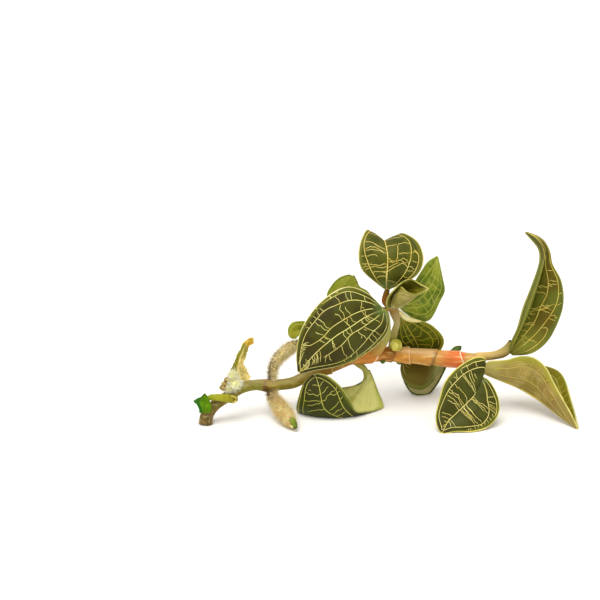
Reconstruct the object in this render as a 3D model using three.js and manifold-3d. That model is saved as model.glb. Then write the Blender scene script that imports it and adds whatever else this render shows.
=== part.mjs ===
// A cutting of a jewel orchid, lying on a flat surface: a creeping stem with one cut end, a side
// shoot with a rosette, twelve leaves, two roots and what is left of the old leaf bases.
// Millimetres, +Z up. The origin is on the surface, under the middle of the cutting's box.
import * as THREE from "three";
import { mergeVertices } from "three/addons/utils/BufferGeometryUtils.js";
import Module from "manifold-3d";

const wasm = await Module();
wasm.setup();

// Driving dimensions, mm
const BLADE = 0.7; // leaf blade
const KEEL = 0.45; // how far the midrib stands out below the blade
const RIDGE = 0.15; // how far the long veins stand out above the blade
const PAPER = 0.6; // dried sheath, torn scrap
const MOUTH = 0.45; // how far the mouth of a leaf sheath stands out from the stem
const KNOT = 0.3; // how far the knot under the rosette stands out from the shoot
const GAP = 0.3; // clearance between neighbouring pieces
const GROUND = { side: 400, depth: 40 }; // a block under the surface that the cutting lies on
const CENTRING = [1.86, -3.03, 0]; // moves the points below to the origin at the middle of the box

// The long veins lie at these shares of the half width; the blade's grid has a line on each of them.
const LONG_VEINS = [0.33, 0.67, 0.88];
const FINE_HALF = [0, 0.16, 0.33, 0.5, 0.67, 0.88, 1];
const PLAIN_HALF = [0, 0.35, 0.7, 1];
const FINE_STEPS = 15;
const PLAIN_STEPS = 10;
const BLADE_START = 0.02; // share of the midrib's length at which a blade's grid starts
const BLADE_END = 0.985;
const NUDGE = 0.01; // step in u and v for the blade's slope

// Sides round a tube, rings along it, and how finely a ball is divided.
const STEM = { sides: 12, steps: 40 };
const SHOOT = { sides: 8, steps: 9 };
const STALK = { sides: 6, steps: 8 };
const ROOT = { sides: 8, steps: 12 };
const ROUND = 2;
const COARSE = 1;

const COLOURS = {
  velvet: 0x3a4622,
  fresh: 0x6f8a2c,
  stem: 0xb07a3c,
  root: 0xd8cda0,
  paper: 0xb59a6a,
  fluff: 0xe9e2bd,
  peel: 0x9a9a3a,
  scrap: 0x3f8f1c,
};

// Main stem: centre line from the cut end to the growing tip, with the radius at each point.
// The radius grows over the nodes and where the old leaf sheaths wrap the stem.
const STEM_PATH = [
  [-79.5, -14, 0, 2.9],
  [-79, -12.8, 3.5, 2.8],
  [-75.5, -11, 7.5, 2.5],
  [-70, -8, 10.5, 2.5],
  [-64.5, -5, 13.2, 2.6],
  [-58, -2, 13.5, 2.4],
  [-52.5, 0, 12.5, 2.9],
  [-47.5, 1, 12.5, 2.5],
  [-42, 2, 13, 2.6],
  [-37, 3, 15, 2.6],
  [-31, 4, 17.5, 2.4],
  [-24.5, 5, 19.5, 2.6],
  [-16.5, 7, 22.5, 2.9],
  [-12, 8, 23, 3.4],
  [-5, 9.5, 23.5, 3.3],
  [1, 11, 23, 3.2],
  [9, 11, 22.5, 3.5],
  [18.5, 10, 22, 3.4],
  [27.5, 9, 21.5, 3.6],
  [35, 8, 21.7, 3.1],
  [39.5, 7.4, 22.4, 2.2],
];

// Leaf sheaths wrap the stem like sleeves. Each has its foot and its mouth at these shares of the
// stem's length, and lies tight at the foot and wider at the mouth.
const SHEATHS = [
  [0.434, 0.496],
  [0.575, 0.655],
  [0.662, 0.715],
  [0.722, 0.772],
  [0.78, 0.852],
  [0.858, 0.954],
];
const LIP = 0.003; // share of the length over which the stem drops back behind a mouth

// Side shoot from the stem up to the rosette, ending in a knot that carries the leaf stalks.
const SHOOT_PATH = [
  [2, 10.8, 24.5, 2],
  [2.2, 10.6, 29, 1.8],
  [2.8, 10.4, 33.5, 1.6],
  [3.8, 10.4, 38, 1.5],
  [2.8, 10.1, 42, 2],
  [1.5, 9.6, 45.3, 1.9],
];
const BUD = { centre: [3.4, 7.4, 28.6], radius: 2.6 };

// Each leaf has a midrib and two margins, from the stalk to the tip. Right is the side on the right
// hand of someone who looks at the upper face with the tip up. Halfway lines, where given, lead the
// blade between midrib and margin; elsewhere bulge arches it, as a share of the half width.
// stalk: points with a radius, from the stem into the blade.
const LEAVES = [
  {
    name: "leaf_large_front",
    fine: true,
    colour: "velvet",
    midrib: [
      [-2.5, 3, 46.5], [-10, -2, 45], [-17.5, -5, 41], [-25, -7, 36.5], [-32, -8, 30.5],
      [-39.5, -8, 21],
    ],
    right: [
      [-2.5, 3, 46.5], [-9.8, 3.5, 53.5], [-18.5, 3, 56.5], [-30, 1, 50], [-38, -3, 39],
      [-40, -6, 29], [-39.5, -8, 21],
    ],
    left: [
      [-2.5, 3, 46.5], [-0.5, 2.5, 43], [-1, 1.5, 37], [-7, 0, 30], [-19.5, -2.5, 23.5],
      [-33.5, -6.5, 22], [-39.5, -8, 21],
    ],
    bulge: [0.12, 0.14],
    stalk: [
      [-7.2, 8.8, 22.9, 2.6], [-4.9, 7.2, 26.5, 2.7], [-2.6, 6.2, 30.5, 2.4], [-1.1, 5.3, 34.5, 2],
      [-0.7, 4.7, 38.4, 1.5], [-0.8, 4.1, 42.3, 1.2], [-1.5, 3.5, 45.1, 1], [-4, 2, 46.2, 0.8],
    ],
  },
  {
    name: "leaf_top_recurved",
    fine: true,
    colour: "velvet",
    midrib: [
      [-1, 9, 53.5], [-1.5, 7, 62], [-1.5, 7.5, 69], [-2, 13, 73.5], [-2, 18, 73],
      [-1.5, 25, 68.5], [-0.5, 31, 62.5],
    ],
    right: [
      [-1, 9, 53.5], [5, 8.5, 56.5], [12, 8, 61], [14.5, 9, 67], [12.5, 13, 73.5],
      [6.5, 19, 76], [3.5, 25.5, 72.5], [-0.5, 31, 62.5],
    ],
    left: [
      [-1, 9, 53.5], [-5, 9, 56.5], [-12, 9, 63.5], [-13, 11, 71], [-9.5, 19, 77.5],
      [-6, 26, 72], [-0.5, 31, 62.5],
    ],
    bulge: [0.04, 0.04],
    stalk: [
      [0.6, 9.6, 45.5, 1.3], [-1.7, 10, 47.8, 1.3], [-1.2, 10.2, 50.8, 1.4], [-0.6, 9.6, 53.9, 1],
      [-0.5, 8.6, 55.9, 0.7],
    ],
  },
  {
    name: "leaf_young_rolled",
    colour: "velvet",
    midrib: [[1, 6, 45.5], [7, 7, 48], [12, 6.5, 52], [17, 6, 55]],
    right: [
      [1, 6, 45.5], [0.5, 4, 50], [3, 4.5, 55.5], [5, 1.5, 57], [7, 0, 55.5], [11, 0.5, 54],
      [14.5, 3, 54.5], [17, 6, 55],
    ],
    rightHalfway: [[1, 6, 45.5], [3, 0, 51.5], [8, 0, 52.5], [13, 3, 54], [17, 6, 55]],
    left: [
      [1, 6, 45.5], [-1.5, -1, 49.5], [-1, -2, 53.5], [4.5, 2, 58.5], [9.5, 8, 58.5],
      [14, 8, 56], [17, 6, 55],
    ],
    leftHalfway: [[1, 6, 45.5], [3, 11, 48], [6, 12.5, 53.5], [12, 10.5, 55], [17, 6, 55]],
    start: 0.12,
    stalk: [[1, 9, 45.6, 1.1], [1.8, 7, 46.2, 1.2], [3.4, 6.4, 47, 1.1]],
  },
  {
    name: "leaf_rear_upright",
    colour: "fresh",
    midrib: [
      [4.5, 13, 44.5], [11, 16, 45.5], [16, 18, 48.5], [19.5, 20, 53], [21.5, 22, 59],
      [22, 24, 64.4],
    ],
    right: [
      [4.5, 13, 44.5], [9, 15, 40.2], [14.5, 16.5, 36.8], [18.6, 18, 36.9], [23.5, 22, 44.7],
      [25.3, 23, 48.6], [24.4, 23.5, 54], [22, 24, 64.4],
    ],
    left: [[4.5, 13, 44.5], [8, 15, 49], [14.4, 19, 58], [17.8, 22, 62.1], [22, 24, 64.4]],
    bulge: [0.06, 0.06],
    stalk: [[1.4, 9.8, 45.2, 1.2], [3.6, 12, 45, 1.2], [6.4, 14, 46.8, 1], [9, 15.5, 48.2, 0.5]],
  },
  {
    name: "leaf_behind_stem",
    colour: "velvet",
    midrib: [[4.5, 11.8, 42], [8.5, 13, 36], [12, 14.5, 30], [14, 16, 24.5], [15, 16.5, 19.5]],
    right: [
      [4.5, 11.8, 42], [4.5, 13.2, 37], [2, 13.8, 31], [1.5, 15.2, 25.5], [7, 16, 20.5],
      [15, 16.5, 19.5],
    ],
    left: [
      [4.5, 11.8, 42], [9, 12.3, 38], [14.5, 13.8, 37.5], [20.5, 15.5, 34], [25, 16.5, 27.5],
      [22.5, 17, 21.5], [15, 16.5, 19.5],
    ],
    bulge: [0.08, 0.08],
    stalk: [
      [2.8, 10.3, 43.5, 1], [4.5, 11.4, 42.6, 1.1], [8, 12.2, 39.6, 1.2], [11.5, 12.8, 38.2, 0.9],
      [14.5, 13.8, 37.4, 0.4],
    ],
  },
  {
    name: "leaf_cupped_under_stem",
    colour: "velvet",
    midrib: [
      [7.5, 17.5, 17.8], [12, 20, 19.2], [17, 21.5, 19.4], [22, 23, 18.4], [26, 25, 18.3],
      [30.7, 27.6, 18.8], [34.5, 29, 20.4],
    ],
    right: [
      [7, 17, 17.4], [6.4, 16, 14.2], [8, 16, 8.7], [11.2, 16.5, 5.5], [16, 17, 4.4],
      [20.2, 18.5, 6.7], [23.1, 21, 10.7], [26, 24, 15.3], [28.7, 26, 18.5], [31.6, 28, 20.4],
      [34.5, 29, 20.4],
    ],
    rightHalfway: [
      [7.2, 17, 17.6], [8.8, 14.6, 14], [12.8, 14, 13], [17.6, 15, 13.6], [21.6, 18, 15.4],
      [25.5, 22.5, 17.2], [34.5, 29, 20.4],
    ],
    left: [
      [7.2, 18, 17.4], [7, 19, 12.3], [8.8, 19.5, 5.7], [11.9, 20, 1.3], [15.8, 20.5, 0.1],
      [19.8, 22, 0.4], [23.3, 24, 4], [26.4, 26, 9.2], [29.5, 28, 15], [33.1, 28.8, 17.4], [34.5, 29, 20.4],
    ],
    leftHalfway: [
      [7.3, 18.5, 17.6], [9, 25, 14], [13, 28, 9], [18, 29, 8], [23, 29.5, 10],
      [27.5, 29.5, 15], [34.5, 29, 20.4],
    ],
    stalk: [
      [4, 11.5, 21.5, 1.2], [5.2, 14, 18.4, 1.2], [7, 17, 17.4, 1.1], [10.5, 18.8, 18.2, 0.8],
    ],
  },
  {
    name: "leaf_folded_front",
    fine: true,
    colour: "velvet",
    midrib: [
      [-9.8, 7, 17.2], [-8.9, 7, 13.3], [-11, 6.5, 9.5], [-14.5, 5, 5], [-17.5, 1.5, 1.2],
      [-20, -6.5, 0.1], [-23.5, -10, 3.5], [-27, -10.5, 8.5], [-29.5, -9, 13], [-32.5, -5, 20],
    ],
    right: [
      [-8.4, 7, 17.6], [-6.5, 7, 13], [-4.5, 6.5, 7.5], [-2, 4.5, 0.8], [-4.5, 1.5, 0.6],
      [-9.5, -3, 1.5], [-14.5, -7.5, 3.5], [-17.5, -9.5, 9.5], [-22, -9, 16], [-27.5, -6.5, 19.5],
      [-32.5, -5, 20],
    ],
    rightHalfway: [
      [-9, 7, 17.4], [-7.6, 7, 13.2], [-8, 6.5, 9], [-8.5, 5, 4], [-10.5, 0.5, 1.1],
      [-14.5, -5, 0.6], [-18.5, -9, 4], [-22.5, -10, 8.5], [-25.5, -9, 13.5], [-32.5, -5, 20],
    ],
    left: [
      [-10.8, 7, 16.6], [-10.3, 7, 13.6], [-11.8, 7, 10.8], [-15.5, 7, 9.3], [-20, 7, 8.5],
      [-27, 6, 7], [-35, 4, 3], [-39.5, 0, 0.5], [-40, -3, 3], [-39, -6, 9.5], [-37, -6, 15.5],
      [-32.5, -5, 20],
    ],
    leftHalfway: [
      [-10.3, 7, 16.8], [-9.7, 7, 13.4], [-13.5, 7, 9.6], [-19.5, 6.5, 6], [-26.5, 3, 1.5],
      [-31.5, -4.5, 0.1], [-34, -7.5, 3], [-35, -9, 9], [-35, -8, 15.5], [-32.5, -5, 20],
    ],
    start: 0.01,
    stalk: [
      [-15, 7.4, 21.2, 1.4], [-12.8, 6.8, 19.6, 1.3], [-10.6, 6.9, 18, 1.3], [-9.5, 7, 15.4, 1.2],
      [-9.3, 7, 12.6, 0.8],
    ],
  },
  {
    name: "leaf_small_curled",
    colour: "fresh",
    midrib: [
      [-32.5, 8, 34.1], [-36, 7, 37.1], [-39.2, 6, 38.4], [-41.7, 5, 37.4], [-42.7, 3.5, 34.9],
      [-41.2, 3, 32.9],
    ],
    right: [
      [-32.5, 8, 35.1], [-36, 9, 38.6], [-39.2, 9, 38.9], [-42.2, 8, 38.4], [-43.7, 6, 36.4],
      [-43.2, 4, 33.9], [-41.2, 3, 32.9],
    ],
    left: [
      [-32.5, 8, 33.1], [-35, 5, 34.1], [-37.5, 3.5, 35.1], [-39.2, 3, 34.9], [-40.7, 3, 33.4],
      [-41.2, 3, 32.9],
    ],
    bulge: [-0.1, -0.1],
    end: 0.96,
    stalk: [[-25, 5, 20, 1.2], [-27, 8, 24.5, 1.2], [-30, 9, 30, 1.1], [-33.5, 7.8, 35.3, 0.9]],
  },
  {
    name: "leaf_behind_large",
    colour: "fresh",
    midrib: [[-4, 11, 44], [-9, 13, 47], [-13, 15, 51], [-15.6, 16.5, 57.9]],
    right: [
      [-4, 11, 44], [-14.5, 13, 44], [-26.5, 15, 48.5], [-24.3, 15.5, 53.8], [-20.9, 16, 56.9],
      [-15.6, 16.5, 58.4],
    ],
    left: [[-4, 11, 44], [-9.5, 15, 51], [-12.6, 16, 52.6], [-14.1, 16.5, 55.7], [-15.6, 16.5, 58.4]],
    bulge: [-0.05, -0.05],
    end: 0.96,
    stalk: [[0.5, 9.8, 44.5, 1.1], [-2.2, 11, 44, 1], [-5.5, 11.8, 44.8, 0.7]],
  },
  {
    name: "leaf_right_folded",
    fine: true,
    colour: "velvet",
    midrib: [
      [41.6, 4, 17.7], [45.1, 3.2, 16.2], [50, 1.5, 14.5], [56.5, 0, 12], [64, -4, 8.5],
      [71, -10, 4.5], [76, -15, 1.8], [80.5, -20.5, 0],
    ],
    right: [
      [41.6, 4, 18], [42.1, 2.6, 21], [43.8, 1.6, 22.9], [47.6, 0.8, 23.6], [51.9, 0, 24.3],
      [55.2, -0.6, 25.6], [57.5, -1, 26.2], [63, -2, 25.8], [67.5, -4, 22.5], [71, -8, 16.5],
      [74, -12, 11.5], [78, -17, 5], [80.5, -20.5, 0],
    ],
    left: [
      [42, 5, 17.8], [46, 8, 18.5], [51, 11.5, 18.5], [58.5, 13, 18], [65, 11.5, 18],
      [73.5, 6.5, 17.5], [76.5, 3.5, 15.5], [79.5, -10, 6], [80.5, -20.5, 0],
    ],
    bulge: [-0.16, -0.16],
    stalk: [
      [39, 6.6, 20.6, 1.3], [40.6, 5.2, 19, 1.4], [43, 4, 17.7, 1.4], [47, 2.8, 16.2, 0.8],
    ],
  },
  {
    name: "leaf_right_upright",
    fine: true,
    colour: "velvet",
    midrib: [
      [53, 5, 24.8], [58.5, 6, 39], [62, 7, 47.5], [64.5, 7.5, 57], [66.5, 7.5, 66.5],
      [67, 7, 71.5], [64.6, 6, 76.1], [61.8, 5, 78.8], [57, 3, 81.5],
    ],
    right: [
      [53, 5, 24.8], [62, 1, 27.3], [68, 1, 32], [72.5, 2, 40], [75, 3.5, 49], [74, 5, 58.5],
      [70, 7, 66], [69, 8, 70.8], [66.8, 8, 75.2], [63.8, 6.5, 78.1], [57, 3, 81.5],
    ],
    left: [
      [53, 5, 24.8], [53, 1, 31.5], [55, -3, 40], [57, -5, 50.5], [60, -4.5, 59],
      [64, 2, 68.5], [63.7, 3.5, 73.2], [61.8, 3.5, 76.2], [57, 3, 81.5],
    ],
    bulge: [0.1, 0.05],
    stalk: [
      [38.7, 7.6, 23, 2], [42.6, 7.2, 23.4, 1.9], [47.1, 6.2, 24.4, 1.9], [50.5, 5.6, 25.9, 2.2],
      [52.6, 5.3, 28.2, 2], [53.5, 5, 31.3, 1.1],
    ],
  },
  {
    name: "leaf_front_heart",
    fine: true,
    colour: "velvet",
    midrib: [
      [39, -8, 19.5], [36.5, -12.5, 13.5], [32.5, -15.5, 10], [29, -18, 7.5], [25.5, -21, 4.5],
      [21.5, -24.5, -0.1],
    ],
    right: [
      [39, -8, 19.5], [40.5, -6.5, 24], [41, -6, 27], [37.5, -7, 28], [30.5, -9, 25],
      [24, -13, 19.5], [21, -17, 12], [19.5, -20, 6], [20, -22.5, 2.5], [21.5, -24.5, -0.1],
    ],
    left: [
      [39, -8, 19.5], [42, -8.5, 18.5], [45, -9, 14.5], [47, -12, 9], [46, -16.5, 5],
      [41.5, -20.5, 1.5], [34.5, -23.5, 0.6], [28, -24, 0.9], [21.5, -24.5, -0.1],
    ],
    bulge: [0.08, 0.1],
    stalk: [
      [35.5, 7, 21, 1.2], [37, 1.5, 20.8, 1.2], [38.6, -4, 20.6, 1.1], [39, -8, 19.4, 1],
      [38.2, -10, 16.8, 0.7],
    ],
  },
];

// Roots: one climbs behind the large leaf, the other reaches down to the surface.
const ROOTS = [
  {
    name: "root_rising",
    path: [
      [-51, 0, 12.5, 1.5], [-50.7, 0.6, 16, 1.4], [-50.5, 2, 19.7, 1.6], [-48.8, 3.5, 23.2, 2],
      [-45.6, 5.5, 25.9, 2.4], [-42.1, 7, 28, 2.4], [-36.8, 8.4, 29.8, 1.8],
    ],
  },
  {
    name: "root_falling",
    path: [
      [-51.5, 0, 12.5, 1.6], [-50.4, -4, 8.3, 1.9], [-48.9, -7, 6.9, 2.6], [-46.4, -11, 5.4, 3.1],
      [-43.9, -16, 4, 2.7], [-42.3, -20, 3, 1.8], [-40.9, -23.5, 2.2, 0.8],
    ],
  },
];

// Remains at the old end, each a thin blade with a spine and two edges.
const REMAINS = [
  {
    name: "dried_sheath",
    colour: "paper",
    midrib: [
      [-65, -4.4, 15.6], [-65.6, -4.4, 20.5], [-65, -4.4, 25.2], [-63.6, -4.3, 29.2],
      [-62.5, -4.2, 32.4], [-60.8, -4.2, 34.6], [-58.4, -4.2, 34.9],
    ],
    right: [
      [-61, -3.6, 15.6], [-60.2, -3.4, 17.9], [-61.8, -3.4, 21.2], [-63, -3.4, 24],
      [-61.9, -3.5, 27.2], [-61.1, -3.6, 30], [-60.6, -3.8, 32], [-58.4, -4.2, 33.4],
    ],
    left: [
      [-69, -4.6, 16.4], [-69.1, -4.6, 21], [-67.2, -4.5, 25.4], [-65.6, -4.4, 29],
      [-64.2, -4.4, 31.6], [-62.5, -4.3, 34.2], [-60.4, -4.2, 35.9], [-58.4, -4.2, 35.6],
    ],
    bulge: [-0.2, -0.2],
  },
  {
    name: "torn_scrap",
    colour: "scrap",
    midrib: [[-79.5, -15.3, 5.7], [-79.8, -15.4, 9.4], [-80.2, -15.1, 12.2], [-79.5, -14.5, 14.5]],
    right: [[-77, -15.2, 5.9], [-76.9, -15.3, 9.5], [-78.1, -15.1, 12.5], [-79.3, -14.5, 14.5]],
    left: [
      [-82, -15.2, 5.7], [-82.5, -15.2, 8.7], [-84.3, -15, 11.3], [-82.6, -15, 12.3],
      [-81, -14.8, 13], [-79.8, -14.5, 14.5],
    ],
    bulge: [0.12, 0.12],
  },
];
const PEEL_PATH = [
  [-79.4, -13.5, 11.4, 0.8], [-77.2, -13.3, 12, 1.1], [-74.4, -13, 12, 1.3],
  [-71.4, -12, 11.4, 1.5], [-68.6, -10.8, 10.6, 1.7], [-66, -9.8, 10.8, 1.4],
];
const TUFT_BALLS = [[-66.8, -9, 16.8, 2.8], [-67.9, -8.4, 20.3, 2.1], [-69.3, -9, 15, 1.8]];

const vector = ([x, y, z]) => new THREE.Vector3(x, y, z);
const curveThrough = (points) => new THREE.CatmullRomCurve3(points.map(vector));
const evenShares = (steps) => Array.from({ length: steps + 1 }, (_, step) => step / steps);

/** A closed solid from vertex positions and triangles that share them. */
function solidFrom(positions, triangles) {
  return new wasm.Manifold(
    new wasm.Mesh({
      numProp: 3,
      vertProperties: new Float32Array(positions.flatMap((p) => [p.x, p.y, p.z])),
      triVerts: new Uint32Array(triangles.flat()),
    }),
  );
}

/** A closed solid from a closed three.js geometry, moved to a place. */
function solidFromGeometry(geometry, place) {
  geometry.deleteAttribute("normal");
  geometry.deleteAttribute("uv");
  const merged = mergeVertices(geometry).translate(...place);
  return new wasm.Manifold(
    new wasm.Mesh({
      numProp: 3,
      vertProperties: merged.attributes.position.array,
      triVerts: new Uint32Array(merged.index.array),
    }),
  );
}

const ballSolid = (centre, radius, detail) =>
  solidFromGeometry(new THREE.IcosahedronGeometry(radius, detail), centre);

/** A round tube along a smooth path of [x, y, z, radius], with a ring of points at each share. */
function tubeSolid(path, sides, shares, extra = () => 0) {
  const curve = curveThrough(path);
  const radii = path.map((point) => new THREE.Vector3(point[3], 0, 0));
  const radiusCurve = new THREE.CatmullRomCurve3(radii, false, "catmullrom");
  const start = curve.getTangentAt(0);
  const side = new THREE.Vector3(start.y, start.z, start.x);
  const positions = [];
  for (const share of shares) {
    const centre = curve.getPointAt(share);
    const tangent = curve.getTangentAt(share);
    const radius = radiusCurve.getPoint(curve.getUtoTmapping(share)).x + extra(share);
    side.projectOnPlane(tangent).normalize();
    const other = tangent.clone().cross(side);
    for (let index = 0; index < sides; index += 1) {
      const angle = (2 * Math.PI * index) / sides;
      const spoke = side.clone().multiplyScalar(Math.cos(angle)).addScaledVector(other, Math.sin(angle));
      positions.push(centre.clone().addScaledVector(spoke, radius));
    }
  }
  const steps = shares.length - 1;
  const [first, last] = [positions.length, positions.length + 1];
  positions.push(curve.getPointAt(0), curve.getPointAt(1));
  const triangles = [];
  for (let index = 0; index < sides; index += 1) {
    const next = (index + 1) % sides;
    triangles.push([first, next, index]);
    for (let step = 0; step < steps; step += 1) {
      const [a, b] = [step * sides + index, step * sides + next];
      triangles.push([a, b, b + sides], [a, b + sides, a + sides]);
    }
    triangles.push([last, steps * sides + index, steps * sides + next]);
  }
  return solidFrom(positions, triangles);
}

/** The blade's middle surface: u runs from the stalk to the tip, v from -1 at the left margin to 1. */
function bladeSurface(leaf) {
  const midrib = curveThrough(leaf.midrib);
  const half = (margin, halfway, bulge, turn) => ({
    margin: curveThrough(margin),
    halfway: halfway && curveThrough(halfway),
    bulge,
    turn,
  });
  const [rightBulge, leftBulge] = leaf.bulge ?? [0, 0];
  const right = half(leaf.right, leaf.rightHalfway, rightBulge, 1);
  const left = half(leaf.left, leaf.leftHalfway, leftBulge, -1);
  return (u, v) => {
    const { margin, halfway, bulge, turn } = v < 0 ? left : right;
    const rib = midrib.getPointAt(u);
    const edge = margin.getPointAt(u);
    const pull = rib.clone().add(edge).multiplyScalar(0.5);
    if (halfway) {
      pull.lerp(halfway.getPointAt(u), 2);
    } else {
      const across = edge.clone().sub(rib);
      const up = across.clone().cross(midrib.getTangentAt(u)).multiplyScalar(turn).normalize();
      pull.addScaledVector(up, 2 * bulge * across.length());
    }
    const w = Math.abs(v);
    return rib
      .multiplyScalar((1 - w) ** 2)
      .addScaledVector(pull, 2 * w * (1 - w))
      .addScaledVector(edge, w ** 2);
  };
}

/** The direction out of the upper face at u, v. */
function bladeNormal(surface, u, v) {
  const along = surface(Math.min(u + NUDGE, 1), v).sub(surface(Math.max(u - NUDGE, 0), v));
  const across = surface(u, Math.min(v + NUDGE, 1)).sub(surface(u, Math.max(v - NUDGE, -1)));
  return across.cross(along).normalize();
}

/** A thin closed blade: the same grid of triangles above and below, and a strip round the rim. */
function bladeSolid(leaf, thickness, steps, halfGrid, keel, ridge) {
  const surface = bladeSurface(leaf);
  const columns = [...halfGrid.slice(1).reverse().map((v) => -v), ...halfGrid];
  const [start, end] = [leaf.start ?? BLADE_START, leaf.end ?? BLADE_END];
  const heightAbove = (v) => thickness / 2 + (LONG_VEINS.includes(Math.abs(v)) ? ridge : 0);
  const depthBelow = (v) => thickness / 2 + (v === 0 ? keel : 0);
  const [above, below] = [[], []];
  for (const share of evenShares(steps)) {
    const u = start + (end - start) * share;
    for (const v of columns) {
      const up = bladeNormal(surface, u, v);
      above.push(surface(u, v).addScaledVector(up, heightAbove(v)));
      below.push(surface(u, v).addScaledVector(up, -depthBelow(v)));
    }
  }
  const width = columns.length;
  const under = above.length;
  const triangles = [];
  for (let step = 0; step < steps; step += 1) {
    for (let column = 0; column < width - 1; column += 1) {
      const a = step * width + column;
      const [b, c, d] = [a + 1, a + width + 1, a + width];
      triangles.push([a, b, c], [a, c, d]);
      triangles.push([under + a, under + c, under + b], [under + a, under + d, under + c]);
    }
  }
  const rows = [...Array(steps).keys()];
  const cells = [...Array(width - 1).keys()];
  const rim = [
    ...cells,
    ...rows.map((row) => row * width + width - 1),
    ...cells.map((cell) => steps * width + width - 1 - cell),
    ...rows.map((row) => (steps - row) * width),
  ];
  rim.forEach((p, index) => {
    const q = rim[(index + 1) % rim.length];
    triangles.push([q, p, under + p], [q, under + p, under + q]);
  });
  return solidFrom([...above, ...below], triangles);
}

/** How far a leaf sheath stands out from the stem at a share of the stem's length. */
function sheathHeight(share) {
  const sheath = SHEATHS.find(([foot, mouth]) => share >= foot && share <= mouth);
  return sheath ? (MOUTH * (share - sheath[0])) / (sheath[1] - sheath[0]) : 0;
}

/** Rings along the stem: evenly spaced, with extra ones at each sheath's foot, mouth and lip. */
function stemShares() {
  const edges = SHEATHS.flatMap(([foot, mouth]) => [foot, mouth, mouth + LIP]);
  const isClear = (share) => edges.every((edge) => Math.abs(edge - share) > 2 * LIP);
  const even = evenShares(STEM.steps).filter(isClear);
  return [...even, ...edges].sort((a, b) => a - b);
}

/** Stem with its sheaths, side shoot, knot and bud, grown together; extra makes it all thicker. */
function axisSolid(extra = 0) {
  const top = SHOOT_PATH[SHOOT_PATH.length - 1];
  return tubeSolid(STEM_PATH, STEM.sides, stemShares(), (share) => sheathHeight(share) + extra)
    .add(tubeSolid(SHOOT_PATH, SHOOT.sides, evenShares(SHOOT.steps), () => extra))
    .add(ballSolid(top.slice(0, 3), top[3] + KNOT + extra, ROUND))
    .add(ballSolid(BUD.centre, BUD.radius + extra, ROUND));
}

function meshFrom(name, solid, colour, roughness) {
  const { vertProperties, triVerts } = solid.getMesh();
  const geometry = new THREE.BufferGeometry();
  geometry.setAttribute("position", new THREE.BufferAttribute(vertProperties, 3));
  geometry.setIndex(new THREE.BufferAttribute(triVerts, 1));
  geometry.computeVertexNormals();
  const material = new THREE.MeshStandardMaterial({ color: COLOURS[colour], roughness, metalness: 0 });
  const mesh = new THREE.Mesh(geometry, material);
  mesh.name = name;
  return mesh;
}

const ground = solidFromGeometry(
  new THREE.BoxGeometry(GROUND.side, GROUND.side, GROUND.depth),
  [0, 0, -GROUND.depth / 2],
);
const clearance = axisSolid(GAP);
const cutting = new THREE.Group();
cutting.position.set(...CENTRING);

cutting.add(meshFrom("stem", axisSolid().subtract(ground), "stem", 0.5));

for (const leaf of LEAVES) {
  const [steps, grid] = leaf.fine ? [FINE_STEPS, FINE_HALF] : [PLAIN_STEPS, PLAIN_HALF];
  const blade = bladeSolid(leaf, BLADE, steps, grid, KEEL, RIDGE);
  const stalk = tubeSolid(leaf.stalk, STALK.sides, evenShares(STALK.steps));
  const solid = blade.add(stalk).subtract(clearance).subtract(ground);
  cutting.add(meshFrom(leaf.name, solid, leaf.colour, 0.55));
}

for (const { name, path } of ROOTS) {
  const solid = tubeSolid(path, ROOT.sides, evenShares(ROOT.steps));
  cutting.add(meshFrom(name, solid.subtract(clearance).subtract(ground), "root", 0.9));
}

for (const scrap of REMAINS) {
  const solid = bladeSolid(scrap, PAPER, PLAIN_STEPS, PLAIN_HALF, 0, 0);
  cutting.add(meshFrom(scrap.name, solid.subtract(clearance), scrap.colour, 0.8));
}

const peel = tubeSolid(PEEL_PATH, STALK.sides, evenShares(STALK.steps));
cutting.add(meshFrom("peeled_strip", peel.subtract(clearance), "peel", 0.5));

const tuft = TUFT_BALLS.map(([x, y, z, radius]) => ballSolid([x, y, z], radius, COARSE));
const joinedTuft = tuft.reduce((all, ball) => all.add(ball));
cutting.add(meshFrom("fibre_tuft", joinedTuft.subtract(clearance), "fluff", 1));

export default cutting;
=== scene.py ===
"""Jewel orchid cutting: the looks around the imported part.

Points are in millimetres, in the frame that the plant was drafted in. CENTRING moves them to the
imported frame, and every mesh is made in metres.
"""
import math

import bpy
import numpy as np
from mathutils import Euler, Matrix
from mathutils.kdtree import KDTree


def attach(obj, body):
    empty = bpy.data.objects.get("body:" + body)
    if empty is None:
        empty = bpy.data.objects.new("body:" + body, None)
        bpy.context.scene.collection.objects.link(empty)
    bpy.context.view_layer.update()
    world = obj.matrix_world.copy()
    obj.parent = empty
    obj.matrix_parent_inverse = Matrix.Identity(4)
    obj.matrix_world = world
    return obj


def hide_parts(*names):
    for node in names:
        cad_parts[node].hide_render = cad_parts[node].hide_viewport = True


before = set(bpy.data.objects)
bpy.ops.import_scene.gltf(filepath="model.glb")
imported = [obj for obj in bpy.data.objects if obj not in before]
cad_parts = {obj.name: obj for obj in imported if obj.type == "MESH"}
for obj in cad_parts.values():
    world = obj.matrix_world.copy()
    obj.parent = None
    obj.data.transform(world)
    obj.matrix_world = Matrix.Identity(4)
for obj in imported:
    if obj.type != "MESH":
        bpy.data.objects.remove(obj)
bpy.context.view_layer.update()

MM = 0.001
CENTRING = np.array([1.86, -3.03, 0.0])

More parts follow.
